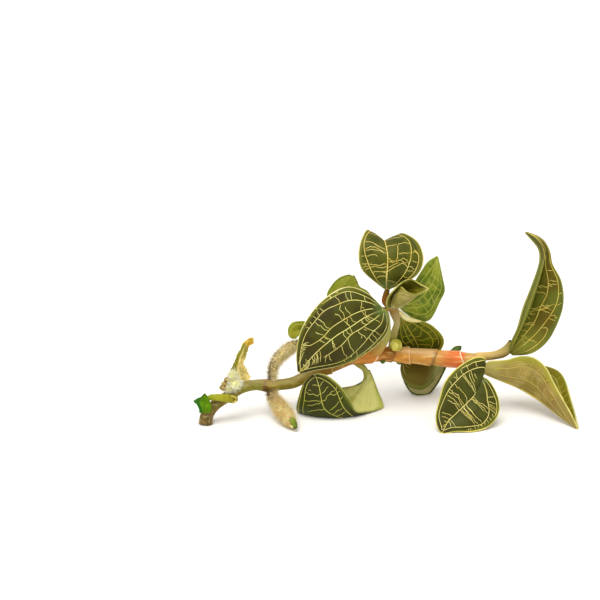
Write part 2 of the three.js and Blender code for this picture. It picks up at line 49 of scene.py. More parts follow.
# Blades, mm
HALF_BLADE = 0.25  # half of a blade's thickness
RIM = 0.35  # radius of the thickened margin
QUILT = 0.16  # how far the skin swells between the veins
QUILT_BELOW = 0.7  # share of that swelling on the lower face
QUILT_REACH = 1.1  # distance from a vein over which it swells
QUILT_FADE = 0.1  # share of the half width, next to the margin, over which it ends
VEIN_RISE = 0.07  # how far a vein stands out of the skin
VEIN_ROOT = 0.06  # how deep a vein's foot is sunk
VEIN_CROWN = 0.55  # share of a vein's width that its crown takes
VEIN_STEP = 0.4  # distance between the points of a vein
VEIN_TAPER = 2.5  # number of those steps in which a vein's end thins out
CROOKED = [0.004, 0.012]  # how far a cross vein strays along and across the blade, as shares
WANDER = 0.008  # how far a long vein strays across it, and in how many bends
WANDER_BENDS = 8
LONG_STEPS = 60  # steps along a long vein before it is refined
MIDRIB_WIDTH = [0.58, 0.32]  # at its start and end
LONG_WIDTH = [0.4, 0.28]
CROSS_WIDTH = 0.29
KEEL = [0.75, 0.55, 0.42, 0.3, 0.2]  # radius of the midrib below the blade, from stalk to tip
KEEL_DROP = 0.5  # share of its radius that the keel lies below the middle of the blade
KEEL_END = 0.97  # share of the blade at which the keel ends
KEEL_STEPS = 60  # steps along it at which its place is worked out

BLADE_START = 0.02  # shares of the length between which a blade is made, if it says no other
BLADE_END = 0.985
NUDGE = 0.01  # step in u and v over which a blade's normal is taken

# The leaves, as the part has them. heel and tip are the ends that midrib and margins, right and left,
# have in common; where a line has ends of its own, they are in its list. A halfway line leads the
# blade between midrib and margin; without one, bulge says how far each half, right and left, swells
# up, as a share of its width. start and end replace BLADE_START and BLADE_END. The points of a stalk
# end in a radius.
LEAVES = [
    dict(
        name="leaf_large_front", heel=[-2.5, 3, 46.5], tip=[-39.5, -8, 21], bulge=[0.12, 0.14],
        midrib=[[-10, -2, 45], [-17.5, -5, 41], [-25, -7, 36.5], [-32, -8, 30.5]],
        right=[[-9.8, 3.5, 53.5], [-18.5, 3, 56.5], [-30, 1, 50], [-38, -3, 39], [-40, -6, 29]],
        left=[[-0.5, 2.5, 43], [-1, 1.5, 37], [-7, 0, 30], [-19.5, -2.5, 23.5], [-33.5, -6.5, 22]],
        stalk=[
            [-7.2, 8.8, 22.9, 2.6], [-4.9, 7.2, 26.5, 2.7], [-2.6, 6.2, 30.5, 2.4], [-1.1, 5.3, 34.5, 2],
            [-0.7, 4.7, 38.4, 1.5], [-0.8, 4.1, 42.3, 1.2], [-1.5, 3.5, 45.1, 1], [-4, 2, 46.2, 0.8]]),
    dict(
        name="leaf_top_recurved", heel=[-1, 9, 53.5], tip=[-0.5, 31, 62.5], bulge=[0.04, 0.04],
        midrib=[[-1.5, 7, 62], [-1.5, 7.5, 69], [-2, 13, 73.5], [-2, 18, 73], [-1.5, 25, 68.5]],
        right=[
            [5, 8.5, 56.5], [12, 8, 61], [14.5, 9, 67], [12.5, 13, 73.5], [6.5, 19, 76], [3.5, 25.5, 72.5]],
        left=[[-5, 9, 56.5], [-12, 9, 63.5], [-13, 11, 71], [-9.5, 19, 77.5], [-6, 26, 72]],
        stalk=[
            [0.6, 9.6, 45.5, 1.3], [-1.7, 10, 47.8, 1.3], [-1.2, 10.2, 50.8, 1.4], [-0.6, 9.6, 53.9, 1],
            [-0.5, 8.6, 55.9, 0.7]]),
    dict(
        name="leaf_young_rolled", heel=[1, 6, 45.5], tip=[17, 6, 55], start=0.12,
        midrib=[[7, 7, 48], [12, 6.5, 52]],
        right=[[0.5, 4, 50], [3, 4.5, 55.5], [5, 1.5, 57], [7, 0, 55.5], [11, 0.5, 54], [14.5, 3, 54.5]],
        right_halfway=[[3, 0, 51.5], [8, 0, 52.5], [13, 3, 54]],
        left=[[-1.5, -1, 49.5], [-1, -2, 53.5], [4.5, 2, 58.5], [9.5, 8, 58.5], [14, 8, 56]],
        left_halfway=[[3, 11, 48], [6, 12.5, 53.5], [12, 10.5, 55]],
        stalk=[[1, 9, 45.6, 1.1], [1.8, 7, 46.2, 1.2], [3.4, 6.4, 47, 1.1]]),
    dict(
        name="leaf_rear_upright", heel=[4.5, 13, 44.5], tip=[22, 24, 64.4], bulge=[0.06, 0.06],
        midrib=[[11, 16, 45.5], [16, 18, 48.5], [19.5, 20, 53], [21.5, 22, 59]],
        right=[
            [9, 15, 40.2], [14.5, 16.5, 36.8], [18.6, 18, 36.9], [23.5, 22, 44.7], [25.3, 23, 48.6],
            [24.4, 23.5, 54]],
        left=[[8, 15, 49], [14.4, 19, 58], [17.8, 22, 62.1]],
        stalk=[[1.4, 9.8, 45.2, 1.2], [3.6, 12, 45, 1.2], [6.4, 14, 46.8, 1], [9, 15.5, 48.2, 0.5]]),
    dict(
        name="leaf_behind_stem", heel=[4.5, 11.8, 42], tip=[15, 16.5, 19.5], bulge=[0.08, 0.08],
        midrib=[[8.5, 13, 36], [12, 14.5, 30], [14, 16, 24.5]],
        right=[[4.5, 13.2, 37], [2, 13.8, 31], [1.5, 15.2, 25.5], [7, 16, 20.5]],
        left=[[9, 12.3, 38], [14.5, 13.8, 37.5], [20.5, 15.5, 34], [25, 16.5, 27.5], [22.5, 17, 21.5]],
        stalk=[
            [2.8, 10.3, 43.5, 1], [4.5, 11.4, 42.6, 1.1], [8, 12.2, 39.6, 1.2], [11.5, 12.8, 38.2, 0.9],
            [14.5, 13.8, 37.4, 0.4]]),
    dict(
        name="leaf_cupped_under_stem", tip=[34.5, 29, 20.4],
        midrib=[
            [7.5, 17.5, 17.8], [12, 20, 19.2], [17, 21.5, 19.4], [22, 23, 18.4], [26, 25, 18.3],
            [30.7, 27.6, 18.8]],
        right=[
            [7, 17, 17.4], [6.4, 16, 14.2], [8, 16, 8.7], [11.2, 16.5, 5.5], [16, 17, 4.4],
            [20.2, 18.5, 6.7], [23.1, 21, 10.7], [26, 24, 15.3], [28.7, 26, 18.5], [31.6, 28, 20.4]],
        right_halfway=[
            [7.2, 17, 17.6], [8.8, 14.6, 14], [12.8, 14, 13], [17.6, 15, 13.6], [21.6, 18, 15.4],
            [25.5, 22.5, 17.2]],
        left=[
            [7.2, 18, 17.4], [7, 19, 12.3], [8.8, 19.5, 5.7], [11.9, 20, 1.3], [15.8, 20.5, 0.1],
            [19.8, 22, 0.4], [23.3, 24, 4], [26.4, 26, 9.2], [29.5, 28, 15], [33.1, 28.8, 17.4]],
        left_halfway=[
            [7.3, 18.5, 17.6], [9, 25, 14], [13, 28, 9], [18, 29, 8], [23, 29.5, 10], [27.5, 29.5, 15]],
        stalk=[[4, 11.5, 21.5, 1.2], [5.2, 14, 18.4, 1.2], [7, 17, 17.4, 1.1], [10.5, 18.8, 18.2, 0.8]]),
    dict(
        name="leaf_folded_front", tip=[-32.5, -5, 20], start=0.01,
        midrib=[
            [-9.8, 7, 17.2], [-8.9, 7, 13.3], [-11, 6.5, 9.5], [-14.5, 5, 5], [-17.5, 1.5, 1.2],
            [-20, -6.5, 0.1], [-23.5, -10, 3.5], [-27, -10.5, 8.5], [-29.5, -9, 13]],
        right=[
            [-8.4, 7, 17.6], [-6.5, 7, 13], [-4.5, 6.5, 7.5], [-2, 4.5, 0.8], [-4.5, 1.5, 0.6],
            [-9.5, -3, 1.5], [-14.5, -7.5, 3.5], [-17.5, -9.5, 9.5], [-22, -9, 16], [-27.5, -6.5, 19.5]],
        right_halfway=[
            [-9, 7, 17.4], [-7.6, 7, 13.2], [-8, 6.5, 9], [-8.5, 5, 4], [-10.5, 0.5, 1.1], [-14.5, -5, 0.6],
            [-18.5, -9, 4], [-22.5, -10, 8.5], [-25.5, -9, 13.5]],
        left=[
            [-10.8, 7, 16.6], [-10.3, 7, 13.6], [-11.8, 7, 10.8], [-15.5, 7, 9.3], [-20, 7, 8.5],
            [-27, 6, 7], [-35, 4, 3], [-39.5, 0, 0.5], [-40, -3, 3], [-39, -6, 9.5], [-37, -6, 15.5]],
        left_halfway=[
            [-10.3, 7, 16.8], [-9.7, 7, 13.4], [-13.5, 7, 9.6], [-19.5, 6.5, 6], [-26.5, 3, 1.5],
            [-31.5, -4.5, 0.1], [-34, -7.5, 3], [-35, -9, 9], [-35, -8, 15.5]],
        stalk=[
            [-15, 7.4, 21.2, 1.4], [-12.8, 6.8, 19.6, 1.3], [-10.6, 6.9, 18, 1.3], [-9.5, 7, 15.4, 1.2],
            [-9.3, 7, 12.6, 0.8]]),
    dict(
        name="leaf_small_curled", tip=[-41.2, 3, 32.9], bulge=[-0.1, -0.1], end=0.96,
        midrib=[[-32.5, 8, 34.1], [-36, 7, 37.1], [-39.2, 6, 38.4], [-41.7, 5, 37.4], [-42.7, 3.5, 34.9]],
        right=[
            [-32.5, 8, 35.1], [-36, 9, 38.6], [-39.2, 9, 38.9], [-42.2, 8, 38.4], [-43.7, 6, 36.4],
            [-43.2, 4, 33.9]],
        left=[[-32.5, 8, 33.1], [-35, 5, 34.1], [-37.5, 3.5, 35.1], [-39.2, 3, 34.9], [-40.7, 3, 33.4]],
        stalk=[[-25, 5, 20, 1.2], [-27, 8, 24.5, 1.2], [-30, 9, 30, 1.1], [-33.5, 7.8, 35.3, 0.9]]),
    dict(
        name="leaf_behind_large", heel=[-4, 11, 44], bulge=[-0.05, -0.05], end=0.96,
        midrib=[[-9, 13, 47], [-13, 15, 51], [-15.6, 16.5, 57.9]],
        right=[
            [-14.5, 13, 44], [-26.5, 15, 48.5], [-24.3, 15.5, 53.8], [-20.9, 16, 56.9],
            [-15.6, 16.5, 58.4]],
        left=[[-9.5, 15, 51], [-12.6, 16, 52.6], [-14.1, 16.5, 55.7], [-15.6, 16.5, 58.4]],
        stalk=[[0.5, 9.8, 44.5, 1.1], [-2.2, 11, 44, 1], [-5.5, 11.8, 44.8, 0.7]]),
    dict(
        name="leaf_right_folded", tip=[80.5, -20.5, 0], bulge=[-0.16, -0.16],
        midrib=[
            [41.6, 4, 17.7], [45.1, 3.2, 16.2], [50, 1.5, 14.5], [56.5, 0, 12], [64, -4, 8.5],
            [71, -10, 4.5], [76, -15, 1.8]],
        right=[
            [41.6, 4, 18], [42.1, 2.6, 21], [43.8, 1.6, 22.9], [47.6, 0.8, 23.6], [51.9, 0, 24.3],
            [55.2, -0.6, 25.6], [57.5, -1, 26.2], [63, -2, 25.8], [67.5, -4, 22.5], [71, -8, 16.5],
            [74, -12, 11.5], [78, -17, 5]],
        left=[
            [42, 5, 17.8], [46, 8, 18.5], [51, 11.5, 18.5], [58.5, 13, 18], [65, 11.5, 18],
            [73.5, 6.5, 17.5], [76.5, 3.5, 15.5], [79.5, -10, 6]],
        stalk=[[39, 6.6, 20.6, 1.3], [40.6, 5.2, 19, 1.4], [43, 4, 17.7, 1.4], [47, 2.8, 16.2, 0.8]]),
    dict(
        name="leaf_right_upright", heel=[53, 5, 24.8], tip=[57, 3, 81.5], bulge=[0.1, 0.05],
        midrib=[
            [58.5, 6, 39], [62, 7, 47.5], [64.5, 7.5, 57], [66.5, 7.5, 66.5], [67, 7, 71.5],
            [64.6, 6, 76.1], [61.8, 5, 78.8]],
        right=[
            [62, 1, 27.3], [68, 1, 32], [72.5, 2, 40], [75, 3.5, 49], [74, 5, 58.5], [70, 7, 66],
            [69, 8, 70.8], [66.8, 8, 75.2], [63.8, 6.5, 78.1]],
        left=[
            [53, 1, 31.5], [55, -3, 40], [57, -5, 50.5], [60, -4.5, 59], [64, 2, 68.5], [63.7, 3.5, 73.2],
            [61.8, 3.5, 76.2]],
        stalk=[
            [38.7, 7.6, 23, 2], [42.6, 7.2, 23.4, 1.9], [47.1, 6.2, 24.4, 1.9], [50.5, 5.6, 25.9, 2.2],
            [52.6, 5.3, 28.2, 2], [53.5, 5, 31.3, 1.1]]),
    dict(
        name="leaf_front_heart", heel=[39, -8, 19.5], tip=[21.5, -24.5, -0.1], bulge=[0.08, 0.1],
        midrib=[[36.5, -12.5, 13.5], [32.5, -15.5, 10], [29, -18, 7.5], [25.5, -21, 4.5]],
        right=[
            [40.5, -6.5, 24], [41, -6, 27], [37.5, -7, 28], [30.5, -9, 25], [24, -13, 19.5], [21, -17, 12],
            [19.5, -20, 6], [20, -22.5, 2.5]],
        left=[
            [42, -8.5, 18.5], [45, -9, 14.5], [47, -12, 9], [46, -16.5, 5], [41.5, -20.5, 1.5],
            [34.5, -23.5, 0.6], [28, -24, 0.9]],
        stalk=[
            [35.5, 7, 21, 1.2], [37, 1.5, 20.8, 1.2], [38.6, -4, 20.6, 1.1], [39, -8, 19.4, 1],
            [38.2, -10, 16.8, 0.7]]),
]

# Main stem, from the cut end to the growing tip: x, y, z and radius.
STEM_PATH = [
    [-79.5, -14, 0, 2.9], [-79, -12.8, 3.5, 2.8], [-75.5, -11, 7.5, 2.5], [-70, -8, 10.5, 2.5],
    [-64.5, -5, 13.2, 2.6], [-58, -2, 13.5, 2.4], [-52.5, 0, 12.5, 2.9], [-47.5, 1, 12.5, 2.5],
    [-42, 2, 13, 2.6], [-37, 3, 15, 2.6], [-31, 4, 17.5, 2.4], [-24.5, 5, 19.5, 2.6],
    [-16.5, 7, 22.5, 2.9], [-12, 8, 23, 3.4], [-5, 9.5, 23.5, 3.3], [1, 11, 23, 3.2],
    [9, 11, 22.5, 3.5], [18.5, 10, 22, 3.4], [27.5, 9, 21.5, 3.6], [35, 8, 21.7, 3.1],
    [39.5, 7.4, 22.4, 2.2],
]
# Leaf sheaths on the stem: shares of its length at foot and mouth, and how much further the mouth
# reaches on the stem's upper side than at mid height.
SHEATHS = [
    [0.434, 0.496, 0.004],
    [0.575, 0.655, 0.016],
    [0.662, 0.715, 0.004],
    [0.722, 0.772, -0.004],
    [0.78, 0.852, 0.012],
    [0.858, 0.954, -0.012],
]
MOUTH = 0.5  # how far a sheath's mouth stands out from the stem, mm
# Where a sheath's lip folds back into its mouth: shares of the sheath, and of MOUTH.
LIP = np.array([(1.015, 0.86), (1.012, 0.6), (0.99, 0.36), (0.95, 0.2), (0.9, -0.2)])

# Side shoot up to the rosette's knot, and the bud beside it: x, y, z and radius.
SHOOT_PATH = [
    [2, 10.8, 24.5, 2], [2.2, 10.6, 29, 1.8], [2.8, 10.4, 33.5, 1.6], [3.8, 10.4, 38, 1.5],
    [2.8, 10.1, 42, 2], [1.5, 9.6, 45.3, 1.9],
]
KNOT = [*SHOOT_PATH[-1][:3], 2.4]
BUD = [3.4, 7.4, 28.6, 2.7]
NUB = [-2.2, 8, 20.9, 1.2]  # green start of a root below the stem

# The fuzzy roots. hairs: how many, and reach: length of the longest, mm. colours: light and deep.
# brown_to: share of its length to which hairs on its left are brown. collar: share of brown hairs
# round its start. bare: share of its length that is a bare tip.
ROOTS = [
    dict(
        name="root_rising", seed=51, hairs=6200, reach=2.0, colours=("fff2c0", "f0dc90"),
        brown_to=0.75, collar=0.0, bare=0.06,
        path=[
            [-51, 0, 12.5, 1.5], [-50.7, 0.6, 16, 1.4], [-50.5, 2, 19.7, 1.6], [-48.8, 3.5, 23.2, 2],
            [-45.6, 5.5, 25.9, 2.4], [-42.1, 7, 28, 2.4], [-36.8, 8.4, 29.8, 1.8]]),
    dict(
        name="root_falling", seed=53, hairs=6600, reach=2.3, colours=("fff4b4", "e4c068"),
        brown_to=0.35, collar=0.6, bare=0.25,
        path=[
            [-51.5, 0, 12.5, 1.6], [-50.4, -4, 8.3, 1.9], [-48.9, -7, 6.9, 2.6], [-46.4, -11, 5.4, 3.1],
            [-43.9, -16, 4, 2.7], [-42.3, -20, 3, 1.8], [-40.9, -23.5, 2.2, 0.8]]),
]

# Remains at the cut end. ragged says how strongly a scrap is wrinkled and torn.
DRIED_SHEATH = dict(
    name="dried_sheath", bulge=[-0.2, -0.2], ragged=1, seed=61,
    midrib=[
        [-65, -4.4, 15.6], [-65.6, -4.4, 20.5], [-65, -4.4, 25.2], [-63.6, -4.3, 29.2], [-62.5, -4.2, 32.4],
        [-60.8, -4.2, 34.6], [-58.4, -4.2, 34.9]],
    right=[
        [-61, -3.6, 15.6], [-60.2, -3.4, 17.9], [-61.8, -3.4, 21.2], [-63, -3.4, 24], [-61.9, -3.5, 27.2],
        [-61.1, -3.6, 30], [-60.6, -3.8, 32], [-58.4, -4.2, 33.4]],
    left=[
        [-69, -4.6, 16.4], [-69.1, -4.6, 21], [-67.2, -4.5, 25.4], [-65.6, -4.4, 29], [-64.2, -4.4, 31.6],
        [-62.5, -4.3, 34.2], [-60.4, -4.2, 35.9], [-58.4, -4.2, 35.6]])
TORN_SCRAP = dict(
    name="torn_scrap", bulge=[0.12, 0.12], ragged=0.7, seed=67,
    midrib=[[-79.5, -15.3, 5.7], [-79.8, -15.4, 9.4], [-80.2, -15.1, 12.2], [-79.5, -14.5, 14.5]],
    right=[[-77, -15.2, 5.9], [-76.9, -15.3, 9.5], [-78.1, -15.1, 12.5], [-79.3, -14.5, 14.5]],
    left=[
        [-82, -15.2, 5.7], [-82.5, -15.2, 8.7], [-84.3, -15, 11.3], [-82.6, -15, 12.3], [-81, -14.8, 13],
        [-79.8, -14.5, 14.5]])
PEEL_PATH = [
    [-79.4, -13.5, 11.4, 0.8], [-77.2, -13.3, 12, 1.1], [-74.4, -13, 12, 1.3],
    [-71.4, -12, 11.4, 1.5], [-68.6, -10.8, 10.6, 1.7], [-66, -9.8, 10.8, 1.4],
]
PEEL_RING = [-67.5, -12, 10.7]  # centre of the open ring at its torn end
PEEL_RING_SIZE = (1.3, 0.55)  # radius of that ring and of the skin round it, mm
# Lumps inside the tuft, and brown crumbs beside it: x, y, z and radius.
TUFT_BALLS = [[-66.8, -9, 16.8, 2.8], [-67.9, -8.4, 20.3, 2.1], [-69.3, -9, 15, 1.8]]
CRUMBS = [[-71.7, -8.8, 14.9, 1.6], [-71.2, -8.8, 16.6, 1.3], [-70.3, -8.8, 18.6, 1.1]]


# ---------------------------------------------------------------- curves and surfaces
def unit(vectors):
    return vectors / np.maximum(np.linalg.norm(vectors, axis=-1, keepdims=True), 1e-9)


def turns(sides):
    """Even angles all round, one for each side."""
    return np.arange(sides) * 2 * math.pi / sides


def waves(height, count, angles, phase=0.0):
    """A number of waves round a tube or a ball."""
    return height * np.cos(count * angles + phase)


def smooth(knots, samples, spacing=0.5):
    """Points on a Catmull-Rom curve through the knots: centripetal at spacing 0.5, even at 0."""
    p = np.asarray(knots, float)
    p = np.vstack([2 * p[0] - p[1], p, 2 * p[-1] - p[-2]])
    place = np.linspace(0, len(p) - 3, samples + 1)
    i = np.minimum(place.astype(int), len(p) - 4)
    w = (place - i)[:, None]
    a, b, c, d = p[i], p[i + 1], p[i + 2], p[i + 3]
    ab, bc, cd = [
        np.maximum(np.linalg.norm(q - r, axis=1, keepdims=True), 1e-4) ** spacing
        for q, r in ((b, a), (c, b), (d, c))]
    leave = ((b - a) / ab - (c - a) / (ab + bc) + (c - b) / bc) * bc
    arrive = ((c - b) / bc - (d - b) / (bc + cd) + (d - c) / cd) * bc
    return (
        b + leave * w + (3 * (c - b) - 2 * leave - arrive) * w**2
        + (2 * (b - c) + leave + arrive) * w**3)


def places(along, across):
    """Texture places for a grid: the first value runs along it, the second across."""
    return np.stack(np.meshgrid(along, across, indexing="ij"), axis=-1)


class Curve:
    """A smooth curve, read by the share of its length. A fourth value in a knot is a radius."""

    def __init__(self, knots, samples=240):
        knots = np.asarray(knots, float)
        self.points = smooth(knots[:, :3], samples)
        self.radii = smooth(knots[:, 3:], samples, spacing=0)
        steps = np.linalg.norm(np.diff(self.points, axis=0), axis=1)
        self.shares = np.r_[0, np.cumsum(steps)] / steps.sum()

    def read(self, values, share):
        return np.stack([np.interp(share, self.shares, column) for column in values.T], axis=-1)

    def at(self, share):
        return self.read(self.points, share)

    def radius(self, share):
        return self.read(self.radii, share)[..., 0]

    def tangent(self, share):
        step = 0.004
        return unit(self.at(np.minimum(share + step, 1)) - self.at(np.maximum(share - step, 0)))

    def spokes(self, shares, sides):
        """Unit vectors all round the curve at each share, turning with it without a twist."""
        tangents = self.tangent(shares)
        angles = turns(sides)[:, None]
        side = np.roll(tangents[0], -1)
        rings = []
        for tangent in tangents:
            side = unit(side - side.dot(tangent) * tangent)
            rings.append(np.cos(angles) * side + np.sin(angles) * np.cross(tangent, side))
        return np.array(rings)

    def tube(self, rings, sides, radius=None):
        """A grid of points round the curve, and where each lies: share and angle."""
        shares = np.linspace(0, 1, rings + 1)
        radius = self.radius(shares)[:, None] if radius is None else radius
        points = self.at(shares)[:, None] + self.spokes(shares, sides) * np.broadcast_to(
            radius, (rings + 1, sides))[..., None]
        return points, places(shares, np.arange(sides) / sides)


class Blade:
    """A leaf's middle surface. u runs from the stalk to the tip, v from -1, left, to 1, right."""

    def __init__(self, leaf):
        self.midrib = self.line(leaf, "midrib")
        up_right, up_left = leaf.get("bulge", [0, 0])
        self.halves = [
            (self.line(leaf, "left"), self.line(leaf, "left_halfway"), up_left, -1),
            (self.line(leaf, "right"), self.line(leaf, "right_halfway"), up_right, 1),
        ]
        self.start = leaf.get("start", BLADE_START)
        self.end = leaf.get("end", BLADE_END)

    @staticmethod
    def line(leaf, name):
        """One of the lines that a leaf is drawn with, or None if the leaf doesn't have it."""
        if name not in leaf:
            return None
        knots = [leaf.get("heel"), *leaf[name], leaf.get("tip")]
        return Curve([knot for knot in knots if knot])

    def at(self, u, v):
        rib = self.midrib.at(u)
        w = np.abs(v)[..., None]
        found = []
        for margin, halfway, bulge, turn in self.halves:
            edge = margin.at(u)
            if halfway:
                pull = 2 * halfway.at(u) - (rib + edge) / 2
            else:
                across = edge - rib
                up = turn * unit(np.cross(across, self.midrib.tangent(u)))
                width = np.linalg.norm(across, axis=-1, keepdims=True)
                pull = (rib + edge) / 2 + 2 * bulge * width * up
            found.append((1 - w) ** 2 * rib + 2 * w * (1 - w) * pull + w**2 * edge)
        return np.where((v < 0)[..., None], found[0], found[1])

    def normal(self, u, v):
        """The direction out of the upper face."""
        along = self.at(np.minimum(u + NUDGE, 1), v) - self.at(np.maximum(u - NUDGE, 0), v)
        across = self.at(u, np.minimum(v + NUDGE, 1)) - self.at(u, np.maximum(v - NUDGE, -1))
        return unit(np.cross(across, along))

    def mesh(self, rows, columns):
        """u and v of an even grid over the whole blade."""
        return np.meshgrid(
            np.linspace(self.start, self.end, rows + 1), np.linspace(-1, 1, columns + 1), indexing="ij")


def blade_places(u, v):
    """Texture places of points on a blade: shares of its length and, from the left, of its width."""
    return np.stack([u, (v + 1) / 2], axis=-1)


class Piece:
    """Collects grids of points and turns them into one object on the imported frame."""

    def __init__(self, name, looks):
        self.name = name
        self.looks = looks
        self.points, self.places, self.faces, self.slots = [], [], [], []
        self.count = 0

    def grid(self, points, spots, look, turned=False, ring=False):
        """Adds a grid, or a stack of equal grids, as quads; ring joins the last column to the first."""
        points = points.reshape((-1,) + points.shape[-3:])
        stack, rows, columns = points.shape[:3]
        n, row, column = np.meshgrid(
            np.arange(stack), np.arange(rows - 1), np.arange(columns if ring else columns - 1),
            indexing="ij")
        here = (n * rows + row) * columns
        a, b = here + column, here + (column + 1) % columns
        corners = [a, b, b + columns, a + columns]
        faces = np.stack(corners[::-1] if turned else corners, axis=-1).reshape(-1, 4)
        self.faces.append(faces + self.count)
        self.slots.append(np.full(len(faces), look))
        self.points.append(points.reshape(-1, 3))
        self.places.append(np.broadcast_to(spots, points.shape[:3] + (2,)).reshape(-1, 2))
        self.count += stack * rows * columns

    def tube(self, curve, rings, sides, look, radius=None):
        """Adds a tube round a curve, with the curve's own radius if no other is given."""
        self.grid(*curve.tube(rings, sides, radius), look, ring=True)

    def build(self, slot, *replaced):
        points = (np.vstack(self.points) + CENTRING) * MM
        points[:, 2] = np.maximum(points[:, 2], 0)
        corners = np.vstack(self.faces).ravel().astype(np.int32)
        mesh = bpy.data.meshes.new(self.name)
        mesh.vertices.add(len(points))
        mesh.vertices.foreach_set("co", points.ravel())
        mesh.loops.add(len(corners))
        mesh.loops.foreach_set("vertex_index", corners)
        mesh.polygons.add(len(corners) // 4)
        mesh.polygons.foreach_set("loop_start", np.arange(0, len(corners), 4, dtype=np.int32))
        mesh.polygons.foreach_set("material_index", np.concatenate(self.slots).astype(np.int32))
        mesh.update(calc_edges=True)
        layer = mesh.uv_layers.new(name="place")
        layer.data.foreach_set("uv", np.vstack(self.places)[corners].ravel())
        for look in self.looks:
            mesh.materials.append(look)
        mesh.shade_smooth()
        piece = bpy.data.objects.new(self.name, mesh)
        bpy.context.scene.collection.objects.link(piece)
        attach(piece, "root")
        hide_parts(*replaced)


# ---------------------------------------------------------------- materials
def rgb(code):
    """A linear colour from a hexadecimal sRGB one."""
    values = [int(code[i:i + 2], 16) / 255 for i in (0, 2, 4)]
    return [*(c / 12.92 if c <= 0.04045 else ((c + 0.055) / 1.055) ** 2.4 for c in values), 1]


class Paint:
    """One procedural material. Its methods add nodes and return the sockets that come out."""

    def __init__(self, name, roughness, **constants):
        self.look = bpy.data.materials.new(name)
        self.look.use_nodes = True
        self.tree = self.look.node_tree
        self.shader = self.tree.nodes["Principled BSDF"]
        self.shader.inputs["Roughness"].default_value = roughness
        self.shader.inputs["Specular IOR Level"].default_value = 0.12
        for socket, value in constants.items():
            self.shader.inputs[socket.replace("_", " ")].default_value = value

    def put(self, socket, value):
        if isinstance(value, bpy.types.NodeSocket):
            self.tree.links.new(value, socket)
        else:
            socket.default_value = value

    def node(self, kind, inputs, **settings):
        node = self.tree.nodes.new("ShaderNode" + kind)
        for key, value in settings.items():
            setattr(node, key, value)
        for key, value in inputs.items():
            self.put(node.inputs[key], value)
        return node

    def split(self, vector):
        """The sockets of a vector's X, Y and Z."""
        return self.node("SeparateXYZ", {"Vector": vector}).outputs

    def place(self):
        """The two texture places of the piece's grids."""
        spots = self.split(self.node("UVMap", {}, uv_map="place").outputs["UV"])
        return spots["X"], spots["Y"]

    def position(self):
        return self.node("TexCoord", {}).outputs["Object"]

    def upward(self):
        return self.split(self.node("NewGeometry", {}).outputs["Normal"])["Z"]

    def noise(self, scale, detail=3.0, vector=None):
        inputs = {"Vector": vector or self.position(), "Scale": scale, "Detail": detail}
        return self.node("TexNoise", inputs).outputs["Fac"]

    def cells(self, scale):
        inputs = {"Vector": self.position(), "Scale": scale}
        return self.node("TexVoronoi", inputs).outputs["Distance"]

    def streaks(self, *scaled):
        """Noise over two or three values, each with its own scale, so that it's drawn out."""
        inputs = {axis: self.times(value, scale) for axis, (value, scale) in zip("XYZ", scaled)}
        return self.noise(1.0, 3.0, self.node("CombineXYZ", inputs).outputs["Vector"])

    def fibres(self):
        """Streaks along the X axis, the way most of the stem runs."""
        spot = self.split(self.position())
        return self.streaks((spot["X"], 70.0), (spot["Y"], 900.0), (spot["Z"], 900.0))

    def maths(self, operation, a, b=0.0):
        return self.node("Math", {0: a, 1: b}, operation=operation).outputs[0]

    def times(self, a, b):
        return self.maths("MULTIPLY", a, b)

    def plus(self, a, b):
        return self.maths("ADD", a, b)

    def away(self, value, middle):
        """How far a value is from a middle one, on either side."""
        return self.maths("ABSOLUTE", self.maths("SUBTRACT", value, middle))

    def band(self, value, start, end, low=0.0, high=1.0):
        """Goes smoothly from low to high while the value goes from start to end."""
        inputs = {"Value": value, "From Min": start, "From Max": end, "To Min": low, "To Max": high}
        return self.node("MapRange", inputs, interpolation_type="SMOOTHSTEP").outputs["Result"]

    def mix(self, factor, a, b, blend="MIX"):
        node = self.node("Mix", {}, data_type="RGBA", blend_type=blend)
        for socket, value in zip((node.inputs[0], node.inputs[6], node.inputs[7]), (factor, a, b)):
            self.put(socket, rgb(value) if isinstance(value, str) else value)
        return node.outputs[2]

    def tint(self, colour, second, value, *span):
        """Mixes a second colour in by a band. span: start, end and, if not 0 and 1, low and high."""
        return self.mix(self.band(value, *span), colour, second)

    def ramp(self, value, stops):
        node = self.node("ValToRGB", {"Fac": value})
        elements = node.color_ramp.elements
        for index, (place, code) in enumerate(stops):
            element = elements[index] if index < 2 else elements.new(place)
            element.position = place
            element.color = rgb(code)
        return node.outputs["Color"]

    def finish(self, colour, height=None, depth=0.05, roughness=None):
        """Joins colour and relief, depth in mm, to the shader."""
        self.put(self.shader.inputs["Base Color"], colour)
        if height is not None:
            bump = self.node("Bump", {"Height": height, "Distance": depth * MM})
            self.put(self.shader.inputs["Normal"], bump.outputs["Normal"])
        if roughness is not None:
            self.put(self.shader.inputs["Roughness"], roughness)
        return self.look


